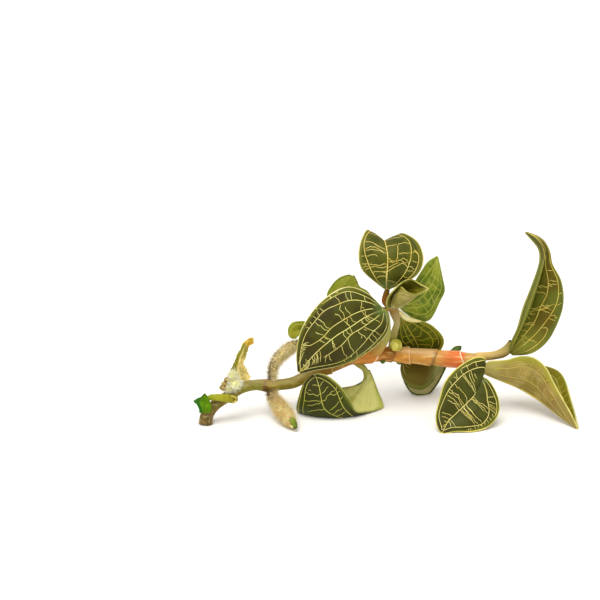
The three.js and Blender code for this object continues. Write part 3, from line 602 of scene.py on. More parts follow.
def velvet(name, dark, green, margin, base="78904c", fresh=0.16, tip="403c1c", turn=0.72, left=None):
    """Upper face: dark between the veins, greener by the midrib, fresh green along the margin."""
    paint = Paint(name, 0.4)
    along, across = paint.place()
    half = paint.away(paint.times(across, 2.0), 1.0)
    patches = paint.band(paint.noise(110.0, 4.0), 0.42, 0.6)
    colour = paint.mix(patches, dark, green)
    near_rib = paint.times(paint.band(half, 0.42, 0.05, 0.0, 0.75), paint.band(along, 0.95, 0.35))
    colour = paint.mix(near_rib, colour, green)
    colour = paint.tint(colour, tip, along, turn, turn + 0.26, 0.0, 0.8)
    # Painted light: the left half is lightened where it lies in shade.
    if left:
        lit = paint.times(paint.band(across, 0.52, 0.44, 0.0, 0.85), paint.band(along, 0.85, 0.6))
        colour = paint.mix(lit, colour, left)
    colour = paint.tint(colour, margin, half, 0.84, 0.93)
    colour = paint.tint(colour, base, along, fresh, 0.1 * fresh, 0.0, 0.75)
    speckle = paint.mix(paint.noise(2600.0, 2.0), "707070", "ffffff")
    colour = paint.mix(0.45, colour, speckle, "MULTIPLY")
    relief = paint.plus(paint.cells(3200.0), paint.noise(700.0, 2.0))
    return paint.finish(colour, relief, roughness=paint.band(patches, 0.0, 1.0, 0.5, 0.38))


def underside(name, pale, streak, margin, cloud=None, edge=0.8, tip=None, foot=None, grain=130.0):
    """Lower face: pale, with lengthwise streaks, brownish clouds and a greener margin."""
    paint = Paint(name, 0.48)
    along, across = paint.place()
    half = paint.away(paint.times(across, 2.0), 1.0)
    lines = paint.streaks((along, 5.0), (across, 80.0))
    colour = paint.tint(pale, streak, paint.noise(grain, 3.0), 0.42, 0.6)
    if cloud:
        colour = paint.tint(colour, cloud, paint.noise(90.0, 4.0), 0.44, 0.64, 0.0, 0.85)
    colour = paint.tint(colour, streak, lines, 0.4, 0.7, 0.0, 0.6)
    colour = paint.tint(colour, "d8d49c", lines, 0.45, 0.3, 0.0, 0.35)
    colour = paint.tint(colour, margin, half, edge, 1.0, 0.0, 0.9)
    if tip:
        colour = paint.tint(colour, tip, along, 0.68, 0.78)
    if foot:
        colour = paint.tint(colour, foot, along, 0.28, 0.08, 0.0, 0.7)
    return paint.finish(colour, paint.plus(lines, paint.cells(2400.0)))


def vein(name, gold, amber, base):
    """Veins: one colour that turns into another in places, and a third where they leave the stalk."""
    paint = Paint(name, 0.42)
    along, _ = paint.place()
    colour = paint.tint(gold, amber, paint.noise(420.0, 3.0), 0.42, 0.66)
    colour = paint.tint(colour, base, along, 0.17, 0.06)
    return paint.finish(colour, paint.noise(2500.0, 2.0), depth=0.03)


def plain_skin(name, first, second, roughness, scale=300.0, depth=0.06, **constants):
    """Plant skin in two tones with a fine grain."""
    paint = Paint(name, roughness, **constants)
    colour = paint.tint(first, second, paint.noise(scale, 4.0), 0.35, 0.65)
    return paint.finish(colour, paint.noise(1800.0, 3.0), depth)


def root_skin(name, light, deep):
    """A root's bark: light, with small dark specks."""
    paint = Paint(name, 0.8)
    colour = paint.tint(light, deep, paint.noise(300.0, 4.0), 0.35, 0.65)
    colour = paint.tint(colour, "5c4422", paint.noise(1100.0, 2.0), 0.56, 0.64)
    return paint.finish(colour, paint.noise(1400.0, 3.0), depth=0.3)


def lengthwise(name, *stops):
    """Skin whose colour follows the first texture place, with fine lengthwise streaks."""
    paint = Paint(name, 0.45)
    along, across = paint.place()
    lines = paint.streaks((along, 6.0), (paint.away(across, 0.5), 60.0))
    colour = paint.ramp(along, stops)
    shade = paint.tint("c8c4a8", "ffffff", lines, 0.3, 0.7)
    colour = paint.mix(0.6, colour, shade, "MULTIPLY")
    return paint.finish(colour, lines, depth=0.06)


# Colours along the stem, olive at the cut end and orange under the sheaths, and of the sheaths' mouths.
STEM_COLOURS = [
    (0.0, "4c4014"), (0.05, "5c5014"), (0.11, "6c6418"), (0.17, "7c7a20"), (0.25, "7c7c28"),
    (0.254, "6c4418"), (0.264, "64501a"), (0.272, "a48824"), (0.302, "9c8c2c"), (0.315, "827e20"),
    (0.43, "807424"), (0.46, "a07c38"), (0.57, "ac7c34"), (0.59, "cc8838"), (0.655, "cc7c2c"),
    (0.668, "a8661e"), (0.713, "94601c"), (0.728, "d08c30"), (0.77, "cc8830"), (0.785, "c48c38"),
    (0.845, "c88c3c"), (0.853, "96683c"), (0.864, "d09848"), (0.9, "de7c3c"), (0.95, "ec7036"),
    (0.962, "cc9c58"), (1.0, "c4a460"),
]
MOUTH_COLOURS = [
    (0.5, "c8b070"), (0.64, "f6e8c0"), (0.672, "f6e8c0"), (0.69, "8c5a26"), (0.725, "8c5a26"),
    (0.75, "f0d49c"), (0.79, "f0d49c"), (0.82, "a07c44"), (0.87, "a07c44"), (0.92, "f6e8c4"),
]


def stem_skin():
    """Stem and its sheaths: first place is the share of the stem, second the share of a sheath."""
    paint = Paint("stem_skin", 0.38, Specular_IOR_Level=0.2)
    along, sheath = paint.place()
    wobble = paint.times(paint.maths("SUBTRACT", paint.noise(160.0, 3.0), 0.5), 0.02)
    colour = paint.ramp(paint.plus(along, wobble), STEM_COLOURS)
    upward = paint.upward()
    # Painted highlight: a greyish sheen on the upper side of the stem between the cut end and the middle.
    old = paint.times(paint.band(along, 0.06, 0.1), paint.band(along, 0.5, 0.42))
    painted_highlight_top = paint.times(paint.band(upward, 0.0, 0.6, 0.0, 0.4), old)
    colour = paint.mix(painted_highlight_top, colour, "a8986c")
    # Painted light: a cream tint on the upper side of the middle sheaths.
    light = paint.times(paint.band(along, 0.715, 0.73, 0.0, 0.6), paint.band(along, 0.856, 0.85))
    painted_light_top = paint.times(paint.band(upward, 0.3, 0.8), light)
    colour = paint.mix(painted_light_top, colour, "dcbc8c")
    young = paint.band(along, 0.5, 0.72, 0.35, 1.0)
    blush = paint.times(paint.band(paint.noise(240.0, 4.0), 0.5, 0.7, 0.0, 0.4), young)
    colour = paint.mix(blush, colour, "f0bc6c")
    fibres = paint.fibres()
    colour = paint.tint(colour, "8a5c20", fibres, 0.5, 0.68, 0.0, 0.4)
    pale_streaks = paint.times(paint.band(fibres, 0.45, 0.3, 0.0, 0.5), young)
    colour = paint.mix(pale_streaks, colour, "f4d890")
    colour = paint.tint(colour, paint.ramp(along, MOUTH_COLOURS), sheath, 0.95, 0.99)
    return paint.finish(colour, paint.plus(fibres, paint.noise(1500.0, 3.0)), depth=0.15)


def paper_skin(name, rib, paper, knob, spots):
    """Dried sheath: a green rib at the left edge, paper at the right and a brown knob at the tip."""
    paint = Paint(name, 0.6)
    along, across = paint.place()
    frayed = paint.plus(across, paint.times(paint.noise(500.0, 4.0), 0.3))
    dry = paint.times(paint.band(frayed, 0.42, 0.68), paint.band(along, 0.7, 0.45, 0.4, 1.0))
    colour = paint.mix(dry, rib, paper)
    colour = paint.tint(colour, spots, paint.noise(420.0, 3.0), 0.5, 0.66, 0.0, 0.5)
    colour = paint.tint(colour, knob, along, 0.74, 0.86)
    return paint.finish(colour, paint.noise(900.0, 4.0), depth=0.25)


def torn_skin(name, bright, deep, lobe):
    """Fresh green scrap of leaf with a darker lobe at its left edge."""
    paint = Paint(name, 0.4)
    along, across = paint.place()
    lines = paint.streaks((along, 4.0), (across, 22.0))
    colour = paint.tint(bright, deep, lines, 0.38, 0.62)
    colour = paint.tint(colour, lobe, across, 0.34, 0.22)
    return paint.finish(colour, paint.plus(lines, paint.noise(1800.0, 3.0)), depth=0.08)


# ---------------------------------------------------------------- leaves
# Veins placed one by one, each a row of places (along, across) in hundredths of a blade. Positive is
# the right half. A comb is a row of short veins: first, last, count, across from, across to, lean.
# A net without a midrib of its own has the straight one.
STRAIGHT = [(2, 0), (98, 0)]
NETS = {
    "leaf_large_front": dict(
        long=[
            [(12, 26), (25, 25), (40, 25), (52, 25), (60, 20), (66, 22), (73, 33), (76, 50), (78, 68)],
            [(8, 50), (20, 56), (30, 61), (40, 66), (50, 73), (60, 72), (70, 74), (80, 70), (90, 55),
             (97, 8)],
            [(6, 70), (20, 79), (30, 87), (40, 90), (48, 93)],
            [(10, -26), (20, -22), (30, -20), (40, -17), (50, -25), (60, -28), (72, -31)],
            [(5, -45), (17, -55), (25, -50), (33, -55), (47, -68), (60, -77), (75, -72), (88, -52),
             (97, -8)],
            [(4, -70), (17, -85), (29, -85), (37, -87), (47, -91), (52, -94)]],
        cross=[
            [(21, 25), (20, 10), (19, 0), (18, -12), (17, -22)], [(23, 25), (22, 12), (21, 6)],
            [(22, 55), (23, 40), (24, 25)], [(23, 38), (21, 27)], [(35, 52), (35, 38), (32, 25)],
            [(34, 24), (33, 12), (30, 0)], [(38, 64), (40, 50), (38, 37), (40, 25)],
            [(44, 50), (42, 38), (40, 26)], [(37, 25), (38, 12), (37, 0)], [(40, 22), (38, 10), (37, 3)],
            [(57, 71), (55, 50), (55, 35), (53, 25)], [(60, 71), (58, 50), (57, 33), (55, 24)],
            [(51, 74), (52, 90)], [(54, 74), (55, 88)], [(58, 74), (59, 90)], [(62, 74), (63, 87)],
            [(66, 75), (67, 86)], [(64, 48), (62, 35), (60, 22)], [(60, 20), (60, 10), (58, 4), (57, 0)],
            [(61, 20), (59, 6)], [(65, 22), (64, 10), (63, 2)], [(28, 86), (29, 61)], [(32, 87), (31, 62)],
            [(39, 89), (37, 65)], [(19, 78), (19, 56)], [(17, -24), (17, -52)],
            [(20, 0), (22, -12), (21, -21)], [(19, 0), (20, -10), (19, -21)],
            [(25, 0), (26, -10), (25, -21)], [(28, -21), (27, -40), (25, -51), (24, -84)],
            [(30, -24), (28, -34)], [(34, -19), (35, -34), (34, -45), (33, -55)], [(35, -36), (37, -43)],
            [(37, 0), (39, -10), (39, -17)], [(41, 0), (42, -10), (40, -17)],
            [(44, 0), (46, -12), (45, -21)], [(45, -21), (48, -42), (50, -68)],
            [(53, -26), (55, -45), (57, -74)], [(56, 0), (58, -15), (59, -27)],
            [(57, -4), (59, -15), (60, -27)], [(66, -30), (68, -42), (69, -60)],
            [(68, -27), (71, -36), (74, -55)], [(28, -53), (29, -84)], [(32, -56), (33, -86)],
            [(47, -69), (50, -88)], [(60, -77), (60, -89)], [(52, -72), (54, -82)]],
        comb=[
            (78, 93, 8, 70, 40, -5), (84, 93, 4, 2, 24, 1), (71, 90, 9, -3, -42, 6),
            (30, 62, 6, -92, -97, 1), (36, 66, 6, 92, 98, 1)]),
    "leaf_top_recurved": dict(
        midrib=[(2, 2), (20, 4), (60, 2), (98, 0)],
        long=[
            [(4, 60), (10, 70), (20, 63), (30, 62), (40, 68), (50, 74), (60, 76), (75, 70), (92, 40)],
            [(8, 88), (20, 88), (30, 87), (40, 87), (44, 78)],
            [(4, -60), (10, -75), (20, -65), (30, -68), (40, -80), (50, -87), (60, -84), (75, -70),
             (92, -40)]],
        cross=[
            [(15, 0), (17, -20), (17, -40), (15, -70)], [(21, 2), (22, -30), (23, -50), (21, -64)],
            [(19, 2), (21, -20)], [(28, 3), (28, -30), (29, -55), (30, -68)],
            [(26, 3), (25, -15), (27, -40), (27, -60), (26, -67)], [(30, -70), (30, -93)],
            [(26, -67), (25, -90)], [(28, -68), (27, -93)], [(36, -72), (37, -50), (35, -28)],
            [(41, -78), (44, -60), (44, -45), (42, -25), (39, -8), (38, 2)],
            [(40, -76), (41, -50), (41, -25), (38, -8)], [(48, -85), (48, -50), (45, -25), (42, 2)],
            [(47, -45), (44, -20)], [(12, 8), (13, 40), (12, 65)], [(12, 40), (10, 60)],
            [(20, 4), (26, 22), (32, 40), (31, 53), (30, 62)], [(25, 4), (29, 22), (32, 36)],
            [(34, 4), (33, 10), (32, 24), (34, 38), (36, 45), (35, 55), (32, 62)], [(31, 4), (32, 22)],
            [(34, 40), (32, 50), (33, 58)], [(33, 26), (39, 31), (46, 33), (48, 40), (50, 55), (49, 74)],
            [(45, 4), (47, 20), (49, 35)], [(39, 32), (40, 45), (41, 68)], [(41, 70), (42, 80), (40, 88)],
            [(30, 63), (30, 86)], [(27, 62), (27, 85)], [(21, 62), (20, 86)], [(56, 4), (58, 30), (60, 74)],
            [(58, 2), (60, -40), (58, -84)], [(36, -76), (36, -92)], [(35, 70), (34, 86)]]),
    "leaf_front_heart": dict(
        midrib=[(2, 0), (60, 0), (72, 4), (80, 9), (90, 6), (98, 0)],
        long=[
            [(6, 55), (12, 68), (20, 70), (30, 73), (40, 75), (50, 74), (60, 76), (70, 80), (80, 82),
             (95, 30)],
            [(16, 92), (22, 89), (30, 89), (38, 92)],
            [(4, -40), (20, -48), (30, -52), (40, -66), (50, -78), (60, -82), (70, -74), (80, -62),
             (95, -18)],
            [(6, -70), (20, -80), (30, -88), (40, -93), (46, -95)]],
        cross=[
            [(33, 94), (32, 85), (32, 75)], [(25, 90), (24, 80), (23, 72)], [(38, 92), (39, 85), (37, 76)],
            [(47, 90), (46, 83), (46, 75)], [(44, 92), (45, 83), (44, 75)], [(53, 92), (53, 77)],
            [(39, 74), (36, 50), (33, 32), (28, 12), (25, 0)], [(37, 74), (35, 50), (31, 30), (27, 10)],
            [(32, 70), (32, 50), (29, 35), (27, 20), (24, 5)], [(30, 72), (29, 50), (27, 35)],
            [(27, 60), (26, 50), (24, 40)], [(50, 73), (49, 55), (46, 48), (44, 30), (42, 10), (43, 0)],
            [(57, 74), (55, 55), (52, 40), (51, 28), (50, 12), (49, 0)],
            [(59, 74), (56, 52), (53, 33), (52, 15), (52, 0)], [(63, 76), (60, 52), (57, 30), (55, 8)],
            [(65, 62), (62, 42), (58, 22), (55, 5)], [(53, 42), (50, 38)], [(60, 28), (60, 15), (59, 0)],
            [(79, 65), (76, 40), (72, 5)], [(82, 60), (80, 35), (78, 8)], [(84, 35), (83, 15)],
            [(31, 0), (32, -8), (37, -25), (42, -48), (46, -72)],
            [(34, -3), (39, -22), (42, -38), (46, -60)], [(37, -28), (38, -45), (40, -60), (40, -66)],
            [(35, 0), (37, -20), (40, -30)], [(44, 0), (49, -12), (53, -30), (57, -60), (58, -78)],
            [(49, -10), (52, -30), (57, -55)], [(50, 0), (53, -10), (57, -30), (61, -65), (62, -80)],
            [(52, -2), (56, -20), (61, -50)], [(57, 0), (58, -8), (61, -25), (65, -76)],
            [(56, -3), (59, -22), (63, -60)], [(77, 4), (79, -15), (82, -52)],
            [(80, 8), (82, -10), (86, -40)], [(28, -50), (26, -70), (27, -85)],
            [(33, -55), (33, -75), (33, -88)], [(35, -60), (38, -90)], [(40, -67), (43, -92)],
            [(37, -64), (40, -90)], [(62, -80), (61, -92)]],
        comb=[(45, 74, 9, -82, -95, 2), (82, 93, 4, 4, 40, 3)]),
    "leaf_right_upright": dict(
        long=[
            [(3, 12), (10, 22), (20, 27), (30, 33), (40, 33), (50, 42), (58, 40), (66, 26), (74, 12)],
            [(3, 40), (10, 48), (20, 53), (30, 62), (40, 73), (50, 82), (60, 85), (70, 80), (85, 60),
             (97, 10)],
            [(3, 75), (10, 82), (20, 83), (26, 85), (30, 80), (29, 64)],
            [(3, -52), (40, -58), (70, -44), (97, -12)]],
        cross=[
            [(19, 0), (21, 15), (22, 28)], [(17, 12), (18, 22), (19, 38), (15, 30), (15, 54)],
            [(18, 40), (19, 58), (20, 78)], [(22, 0), (25, 18), (28, 40)], [(24, 3), (27, 18), (29, 30)],
            [(31, 2), (33, 10), (34, 25)], [(33, 5), (36, 20), (39, 35), (41, 50), (41, 70)],
            [(36, 0), (38, 20), (41, 35), (44, 55), (45, 76)], [(37, 28), (39, 42), (39, 70)],
            [(38, 30), (40, 45), (42, 58)], [(42, 35), (41, 48), (43, 62)], [(38, 72), (39, 95)],
            [(36, 70), (37, 93)], [(45, 80), (47, 97)], [(52, 83), (53, 97)], [(48, 3), (49, 20), (49, 40)],
            [(47, 3), (48, 14)], [(51, 6), (53, 22), (54, 42), (57, 62), (58, 84)], [(52, 5), (52, 22)],
            [(58, 45), (59, 84)], [(56, 42), (55, 60)], [(64, 30), (66, 80)], [(30, 2), (29, 18)],
            [(34, 2), (32, 12)]]),
    "leaf_folded_front": dict(
        midrib=[(2, 0), (54, 0), (65, -8), (72, -12), (79, -8), (91, 0), (98, 0)],
        long=[
            [(44, -70), (58, -78), (72, -72), (81, -66), (91, -60), (97, -12)],
            [(49, 42), (63, 54), (72, 67), (81, 75), (91, 70), (97, 12)],
            [(65, -92), (77, -90), (89, -86)]],
        cross=[
            [(89, 5), (90, 40), (91, 70)], [(83, -3), (84, 25), (85, 60)],
            [(77, -10), (79, 20), (80, 45), (80, 74)], [(79, 35), (77, 60), (77, 88)],
            [(68, -5), (69, 25), (71, 64)], [(63, -8), (64, 20), (65, 50)], [(60, -6), (59, 20), (60, 46)],
            [(83, -5), (82, -20), (83, -40), (85, -62)], [(77, -10), (78, -28), (78, -45), (78, -68)],
            [(90, 0), (90, -30)], [(76, -12), (75, -35), (74, -58)], [(86, -50), (86, -32)],
            [(70, -12), (70, -35), (68, -60)], [(80, 75), (81, 90)], [(72, 68), (73, 86)]]),
    "leaf_behind_stem": dict(
        midrib=[(2, 0), (30, 6), (60, 4), (98, 0)],
        long=[
            [(8, -30), (20, -52), (30, -50), (40, -50), (50, -57), (60, -60), (70, -58), (85, -40)],
            [(30, -80), (40, -82), (50, -83), (60, -82), (70, -80)],
            [(8, 20), (25, 28), (40, 26), (55, 24), (70, 20)],
            [(8, 45), (25, 52), (40, 48), (55, 46), (70, 40)],
            [(10, 75), (30, 78), (50, 72), (70, 60)]],
        cross=[
            [(55, 0), (56, -18), (50, -30), (45, -42), (43, -50)], [(40, -50), (38, -65), (37, -82)],
            [(50, -57), (50, -70), (49, -83)], [(60, -60), (61, -82)],
            [(44, 0), (40, -20), (36, -38), (33, -50)], [(63, 0), (62, -20), (60, -40), (58, -60)],
            [(72, 0), (70, -30), (70, -58)], [(30, 2), (27, -20), (25, -50)], [(47, 24), (50, 10), (50, 0)],
            [(35, 26), (34, 8)], [(45, 46), (47, 24)], [(58, 24), (60, 0)], [(57, 46), (60, 24)],
            [(50, 72), (52, 46)], [(35, 75), (38, 50)]]),
    "leaf_rear_upright": dict(
        long=[
            [(3, 26), (30, 33), (60, 34), (97, 12)],
            [(3, 55), (30, 66), (60, 68), (97, 24)],
            [(3, -26), (30, -33), (60, -34), (97, -12)],
            [(3, -55), (30, -66), (60, -68), (97, -24)]],
        cross=[
            [(28, -10), (33, 15), (36, 45), (38, 70)], [(40, 0), (42, 30), (44, 60)],
            [(52, 0), (50, 35), (48, 70)], [(60, -5), (62, 40), (62, 80)], [(20, 0), (24, 30), (26, 60)],
            [(72, 0), (70, 30), (70, 70)], [(50, 0), (52, -30)], [(60, -2), (58, -35)],
            [(70, 0), (70, -40)]]),
    "leaf_right_folded": dict(
        midrib=[(2, 0), (97, 0)],
        long=[
            [(3, 30), (25, 34), (55, 36), (97, 12)],
            [(3, 62), (25, 70), (50, 74), (75, 64), (97, 26)],
            [(3, -30), (30, -34), (60, -34), (97, -14)],
            [(3, -62), (30, -76), (53, -84), (61, -75), (72, -68), (89, -75), (97, -30)]],
        cross=[
            [(24, 34), (22, 52), (24, 69)], [(36, 34), (33, 52), (35, 72)], [(41, 34), (39, 55), (41, 74)],
            [(46, 34), (45, 56), (47, 74)], [(52, 34), (50, 54), (53, 73)], [(60, 35), (58, 52), (61, 70)],
            [(68, 30), (67, 48), (70, 64)], [(40, 74), (42, 92)], [(47, 74), (50, 92)],
            [(56, 72), (59, 92)], [(56, -82), (57, -96)], [(61, -75), (63, -97)], [(65, -72), (67, -97)],
            [(69, -69), (71, -97)], [(74, -68), (76, -97)], [(80, -70), (81, -97)], [(86, -73), (87, -97)]]),
}

RIM_COLOURS = ("fcf0b8", "ccc478")  # cream edge, where a style names no other
# Looks. upper: dark, green, margin, then base colour, how far it reaches, tip, where the tip starts,
# painted light on a shaded left half. under: pale, streak, margin, clouds, where the margin starts, tip,
# foot. veins: gold, amber, pale. stalk: from stem to blade. net: seed, rows of cross veins, share of
# them that is there, long veins. flipped: both faces are painted as undersides. broad: how much wider
# the veins are. rim: colours of the edge, if they aren't RIM_COLOURS. grid: rows and columns.
STYLES = {
    "leaf_large_front": dict(
        upper=("403c12", "4c4e14", "6a6c1c"), under=("a8a850", "98983c", "8a8c34"),
        veins=("f0ea8c", "e0cc68", "b8b870"), stalk=("d08844", "b0ac5c", "8f9a4c"), grid=(150, 80)),
    "leaf_top_recurved": dict(
        upper=("4c5010", "606216", "74762a"), under=("8f9468", "7d8552", "6b7d2c"),
        veins=("f4de78", "e6c45e", "a8a868"), stalk=("b8744c", "905c20", "6c6418"),
        rim=("dccc84", "acaa5c"), grid=(140, 72)),
    # The rolled leaf's upper face is lighter than its own colour: painted light in its shaded hollow.
    "leaf_young_rolled": dict(
        upper=("948c1c", "7c7814", "747424"), under=("988c44", "6c6418", "747024", "9c8c54"),
        veins=("a4a044", "908c3a", "b0aa74"), net=(5, 5, 0.5, (0.25, 0.5, 0.75)),
        stalk=("b0744c", "a48c54", "989058"), rim=("c8c068", "7c7c30"), grid=(90, 64)),
    "leaf_rear_upright": dict(
        upper=("8a9424", "566c0c", "7c8a2c"), under=("4c6a14", "3c5a10", "56741c"), flipped=True,
        veins=("b0b450", "a0a844", "98a04c"), stalk=("f4e090", "f0e07c", "dcd86c"), broad=1.4,
        rim=("98a43c", "7c8c24"), grid=(90, 56)),
    # The stalk's cream is pushed to near white: its own pale colour with painted light where it lies in
    # shade.
    "leaf_behind_stem": dict(
        upper=("424600", "5c6408", "848418", "7c8c28", 0.45), under=("7f9040", "6b8030", "6b7d2c"),
        veins=("9a9424", "a08c38", "909c50"), stalk=("f0dc8c", "fff8c0", "fff0a0"), broad=1.5,
        rim=("b0b058", "848c28"), grid=(90, 56)),
    # The cupped leaf's upper face is dark brown towards its base, partly its own colour and partly painted
    # shade of the cup. Its lower face is pale cream, lighter than its own colour: painted light where it
    # lies in shade. Its dark rim is a painted shadow in the gap under the curled margin.
    "leaf_cupped_under_stem": dict(
        upper=("6a5a18", "5c5814", "747824", "74681c", 0.42, "98a448", 0.36),
        under=("fff8cc", "ece4a8", "c8c48c", None, 0.8, "56702c"),
        veins=("6c6828", "60601f", "c8c488"), net=(17, 5, 0.4, (0.4, 0.75)), broad=0.7,
        stalk=("8a7a3c", "6f7a30", "5f702c"), rim=("3c480c", "55641a"), grid=(100, 60)),
    "leaf_folded_front": dict(
        upper=("3c4012", "46500e", "6c701c"), under=("d4d284", "b4b45c", "a4ac48", "c4b088", 0.74),
        veins=("ccc860", "b8b04c", "c0c07c"), stalk=("b89a50", "a8a858", "a0a654"),
        rim=("b0ac64", "848c40"), grid=(150, 84)),
    "leaf_small_curled": dict(
        upper=("94901a", "6c740c", "8a8c20"), under=("94901a", "6c740c", "7a8820"), flipped=True,
        veins=("a4a030", "9c962c", "a8a440"), net=(29, 3, 0.4, (0.5,)),
        stalk=("7f8c34", "78882c", "748a2c"), rim=("98a43c", "7c8c24"), grid=(70, 40)),
    "leaf_behind_large": dict(
        upper=("88903a", "8a9a3c", "8c9c38"), under=("949c30", "7c8014", "8c9c30"),
        veins=("8c9a30", "8a9028", "b4b458"), net=(31, 4, 0.4, (0.33, 0.67)),
        stalk=("b89c58", "989844", "748a2c"), rim=("a0a440", "7c8424"), grid=(80, 44)),
    "leaf_right_folded": dict(
        upper=("807610", "90861c", "948c24"),
        under=("a4904c", "84742c", "989430", "8a6840", 0.72, "8c7c40", "c4bc6c"),
        veins=("c8c05c", "c4b048", "b0a25e"),
        stalk=("d0a870", "b89858", "94905a"), rim=("d8cc7c", "acac54"), grid=(140, 76)),
    # The last upper colour lightens the left half: painted light where it lies in shade.
    "leaf_right_upright": dict(
        upper=("645812", "6a7020", "646c28", "a0a03c", 0.36, "50542c", 0.72, "8c9440"),
        under=("88803c", "787832", "76762c", None, 0.8, "b49470"),
        veins=("e0d068", "d4b84e", "a09854"), stalk=("ecc478", "d0b474", "98904c"),
        rim=("9c9848", "70742c"), grid=(150, 72)),
    "leaf_front_heart": dict(
        upper=("444412", "50541a", "646820"), under=("8f8c50", "7f8040", "6b7628"),
        veins=("f0e488", "dcc866", "a8a868"), stalk=("c8a068", "a89850", "76803a"),
        rim=("e4d46c", "b8b04c"), grid=(140, 80)),
}
FRESH = ("leaf_rear_upright", "leaf_small_curled", "leaf_behind_large")  # leaves of a light green

# Grids of a blade's tubes: rings along them and sides round them.
RIM_SIDES = 8
KEEL_GRID = (80, 10)
STALK_GRID = (40, 20)


def wander(rng, count, reach):
    """A smooth random wobble with its ends at rest."""
    knots = rng.uniform(-reach, reach, WANDER_BENDS + 1)
    knots[[0, -1]] = 0
    return np.interp(np.linspace(0, WANDER_BENDS, count), np.arange(WANDER_BENDS + 1), knots)


def long_vein(rng, knots, width):
    """A smooth vein through places in hundredths, as u, v and width."""
    u, v = smooth(np.array(knots) / 100, LONG_STEPS).T
    return u, v + wander(rng, len(v), WANDER), np.linspace(*width, len(u))


def cross_vein(rng, knots):
    """A crooked vein through places in hundredths: it has small bends between them and at them."""
    knots = np.array(knots, float) / 100
    count = 2 * len(knots) + 1
    share = np.linspace(0, len(knots) - 1, count)
    line = np.stack([np.interp(share, np.arange(len(knots)), column) for column in knots.T], axis=-1)
    line[1:-1] += rng.normal(0, 1, (count - 2, 2)) * CROOKED
    taper = np.interp(share / share[-1], [0, 0.2, 0.8, 1], [1, 0.9, 0.85, 0.6])
    return line[:, 0], line[:, 1], CROSS_WIDTH * taper


def placed_net(rng, net):
    """A net whose veins are listed, with the short veins of its combs worked out."""
    cross = list(net["cross"])
    for first, last, count, inner, outer, lean in net.get("comb", []):
        for u in np.linspace(first, last, count) + rng.normal(0, 0.5, count):
            reach = inner + (outer - inner) * rng.uniform(0.6, 1)
            cross.append([(u, inner), (u + lean * 0.4, (inner + reach) / 2), (u + lean, reach)])
    return net.get("midrib", STRAIGHT), net["long"], cross


def seeded_net(rng, rows, fill, long_shares):
    """A net by rule: long veins on both halves, and cross veins in crooked rows between them."""
    long, cross = [], []
    for side in (-100, 100):
        for share in long_shares:
            reach = side * share
            long.append([(3, reach * 0.8), (30, reach), (60, reach * 1.04), (97, reach * 0.3)])
        strips = [0.0, *long_shares, min(long_shares[-1] + 0.2, 0.93)]
        for start in np.linspace(14, 84, rows) + rng.normal(0, 2, rows):
            for inner, outer in zip(strips, strips[1:]):
                if rng.random() < fill:
                    u = start + rng.normal(0, 1.5)
                    bend, end = u + rng.normal(0, 1), u + rng.normal(0, 2)
                    short = [(u, side * inner), (bend, side * (inner + outer) / 2), (end, side * outer)]
                    cross.append(short)
                    if rng.random() < 0.3:
                        cross.append([(a + 2.4, b) for a, b in short])
    return STRAIGHT, long, cross


def vein_net(name):
    """All veins of one blade, as u, v and width. The number of cross veins seeds a placed net."""
    style = STYLES[name]
    if name in NETS:
        rng = np.random.default_rng(len(NETS[name]["cross"]))
        midrib, long, cross = placed_net(rng, NETS[name])
    else:
        seed, *rule = style["net"]
        rng = np.random.default_rng(seed)
        midrib, long, cross = seeded_net(rng, *rule)
    lines = (
        [long_vein(rng, midrib, MIDRIB_WIDTH)]
        + [long_vein(rng, knots, LONG_WIDTH) for knots in long]
        + [cross_vein(rng, knots) for knots in cross])
    return [(u, v, width * style.get("broad", 1)) for u, v, width in lines]


def refine(blade, line):
    """The same vein with even steps of about VEIN_STEP."""
    u, v, width = line
    v = np.clip(v, -0.99, 0.99)
    steps = np.linalg.norm(np.diff(blade.at(u, v), axis=0), axis=1)
    length = np.r_[0, np.cumsum(steps)]
    fine = np.linspace(0, length[-1], max(int(length[-1] / VEIN_STEP), 3) + 1)
    return [np.interp(fine, length, values) for values in (u, v, width)]


def ridge(blade, line, face):
    """A low rounded ridge along a vein, on the upper face (1) or the lower one (-1)."""
    u, v, width = line
    centre = blade.at(u, v)
    normal = blade.normal(u, v) * face
    across = unit(np.cross(np.gradient(centre, axis=0), normal))
    place = np.arange(len(u))
    taper = np.minimum(1, np.minimum(place + 1, place[::-1] + 1) / VEIN_TAPER)
    reach = across * (width * taper / 2)[:, None]
    foot = centre + normal * (HALF_BLADE - VEIN_ROOT)
    crown = centre + normal * (HALF_BLADE + VEIN_RISE * taper[:, None])
    points = [foot - reach, crown - reach * VEIN_CROWN, crown + reach * VEIN_CROWN, foot + reach]
    return np.stack(points, axis=1), blade_places(u, v)[:, None]


def swollen(blade, u, v, lines):
    """How far the skin stands up between the veins at each point of a blade's grid."""
    near = KDTree(sum(len(line[0]) for line in lines))
    for along, across, _ in lines:
        for point in blade.at(along, across):
            near.insert(point, 0)
    near.balance()
    points = blade.at(u, v).reshape(-1, 3)
    distance = np.array([near.find(point)[2] for point in points]).reshape(u.shape)
    rise = QUILT * (1 - np.exp(-((distance / QUILT_REACH) ** 2)))
    return rise * np.clip((1 - np.abs(v)) / QUILT_FADE, 0, 1)


def rim_tube(blade, rows, columns):
    """A tube round the whole edge of a blade."""
    along = np.linspace(blade.start, blade.end, rows + 1)
    across = np.linspace(1, -1, columns // 4 + 1)[1:-1]
    ones = np.ones(len(along))
    u = np.r_[along, np.full(len(across), blade.end), along[::-1], np.full(len(across), blade.start)]
    v = np.r_[ones, across, -ones, across[::-1]]
    u, v = np.r_[u, u[:1]], np.r_[v, v[:1]]
    centre = blade.at(u, v)
    normal = blade.normal(u, v)
    outward = unit(np.cross(np.gradient(centre, axis=0), normal))
    angles = turns(RIM_SIDES)[:, None]
    ring = np.cos(angles) * outward[:, None] + np.sin(angles) * normal[:, None]
    return centre[:, None] + RIM * ring, blade_places(u, v)[:, None]


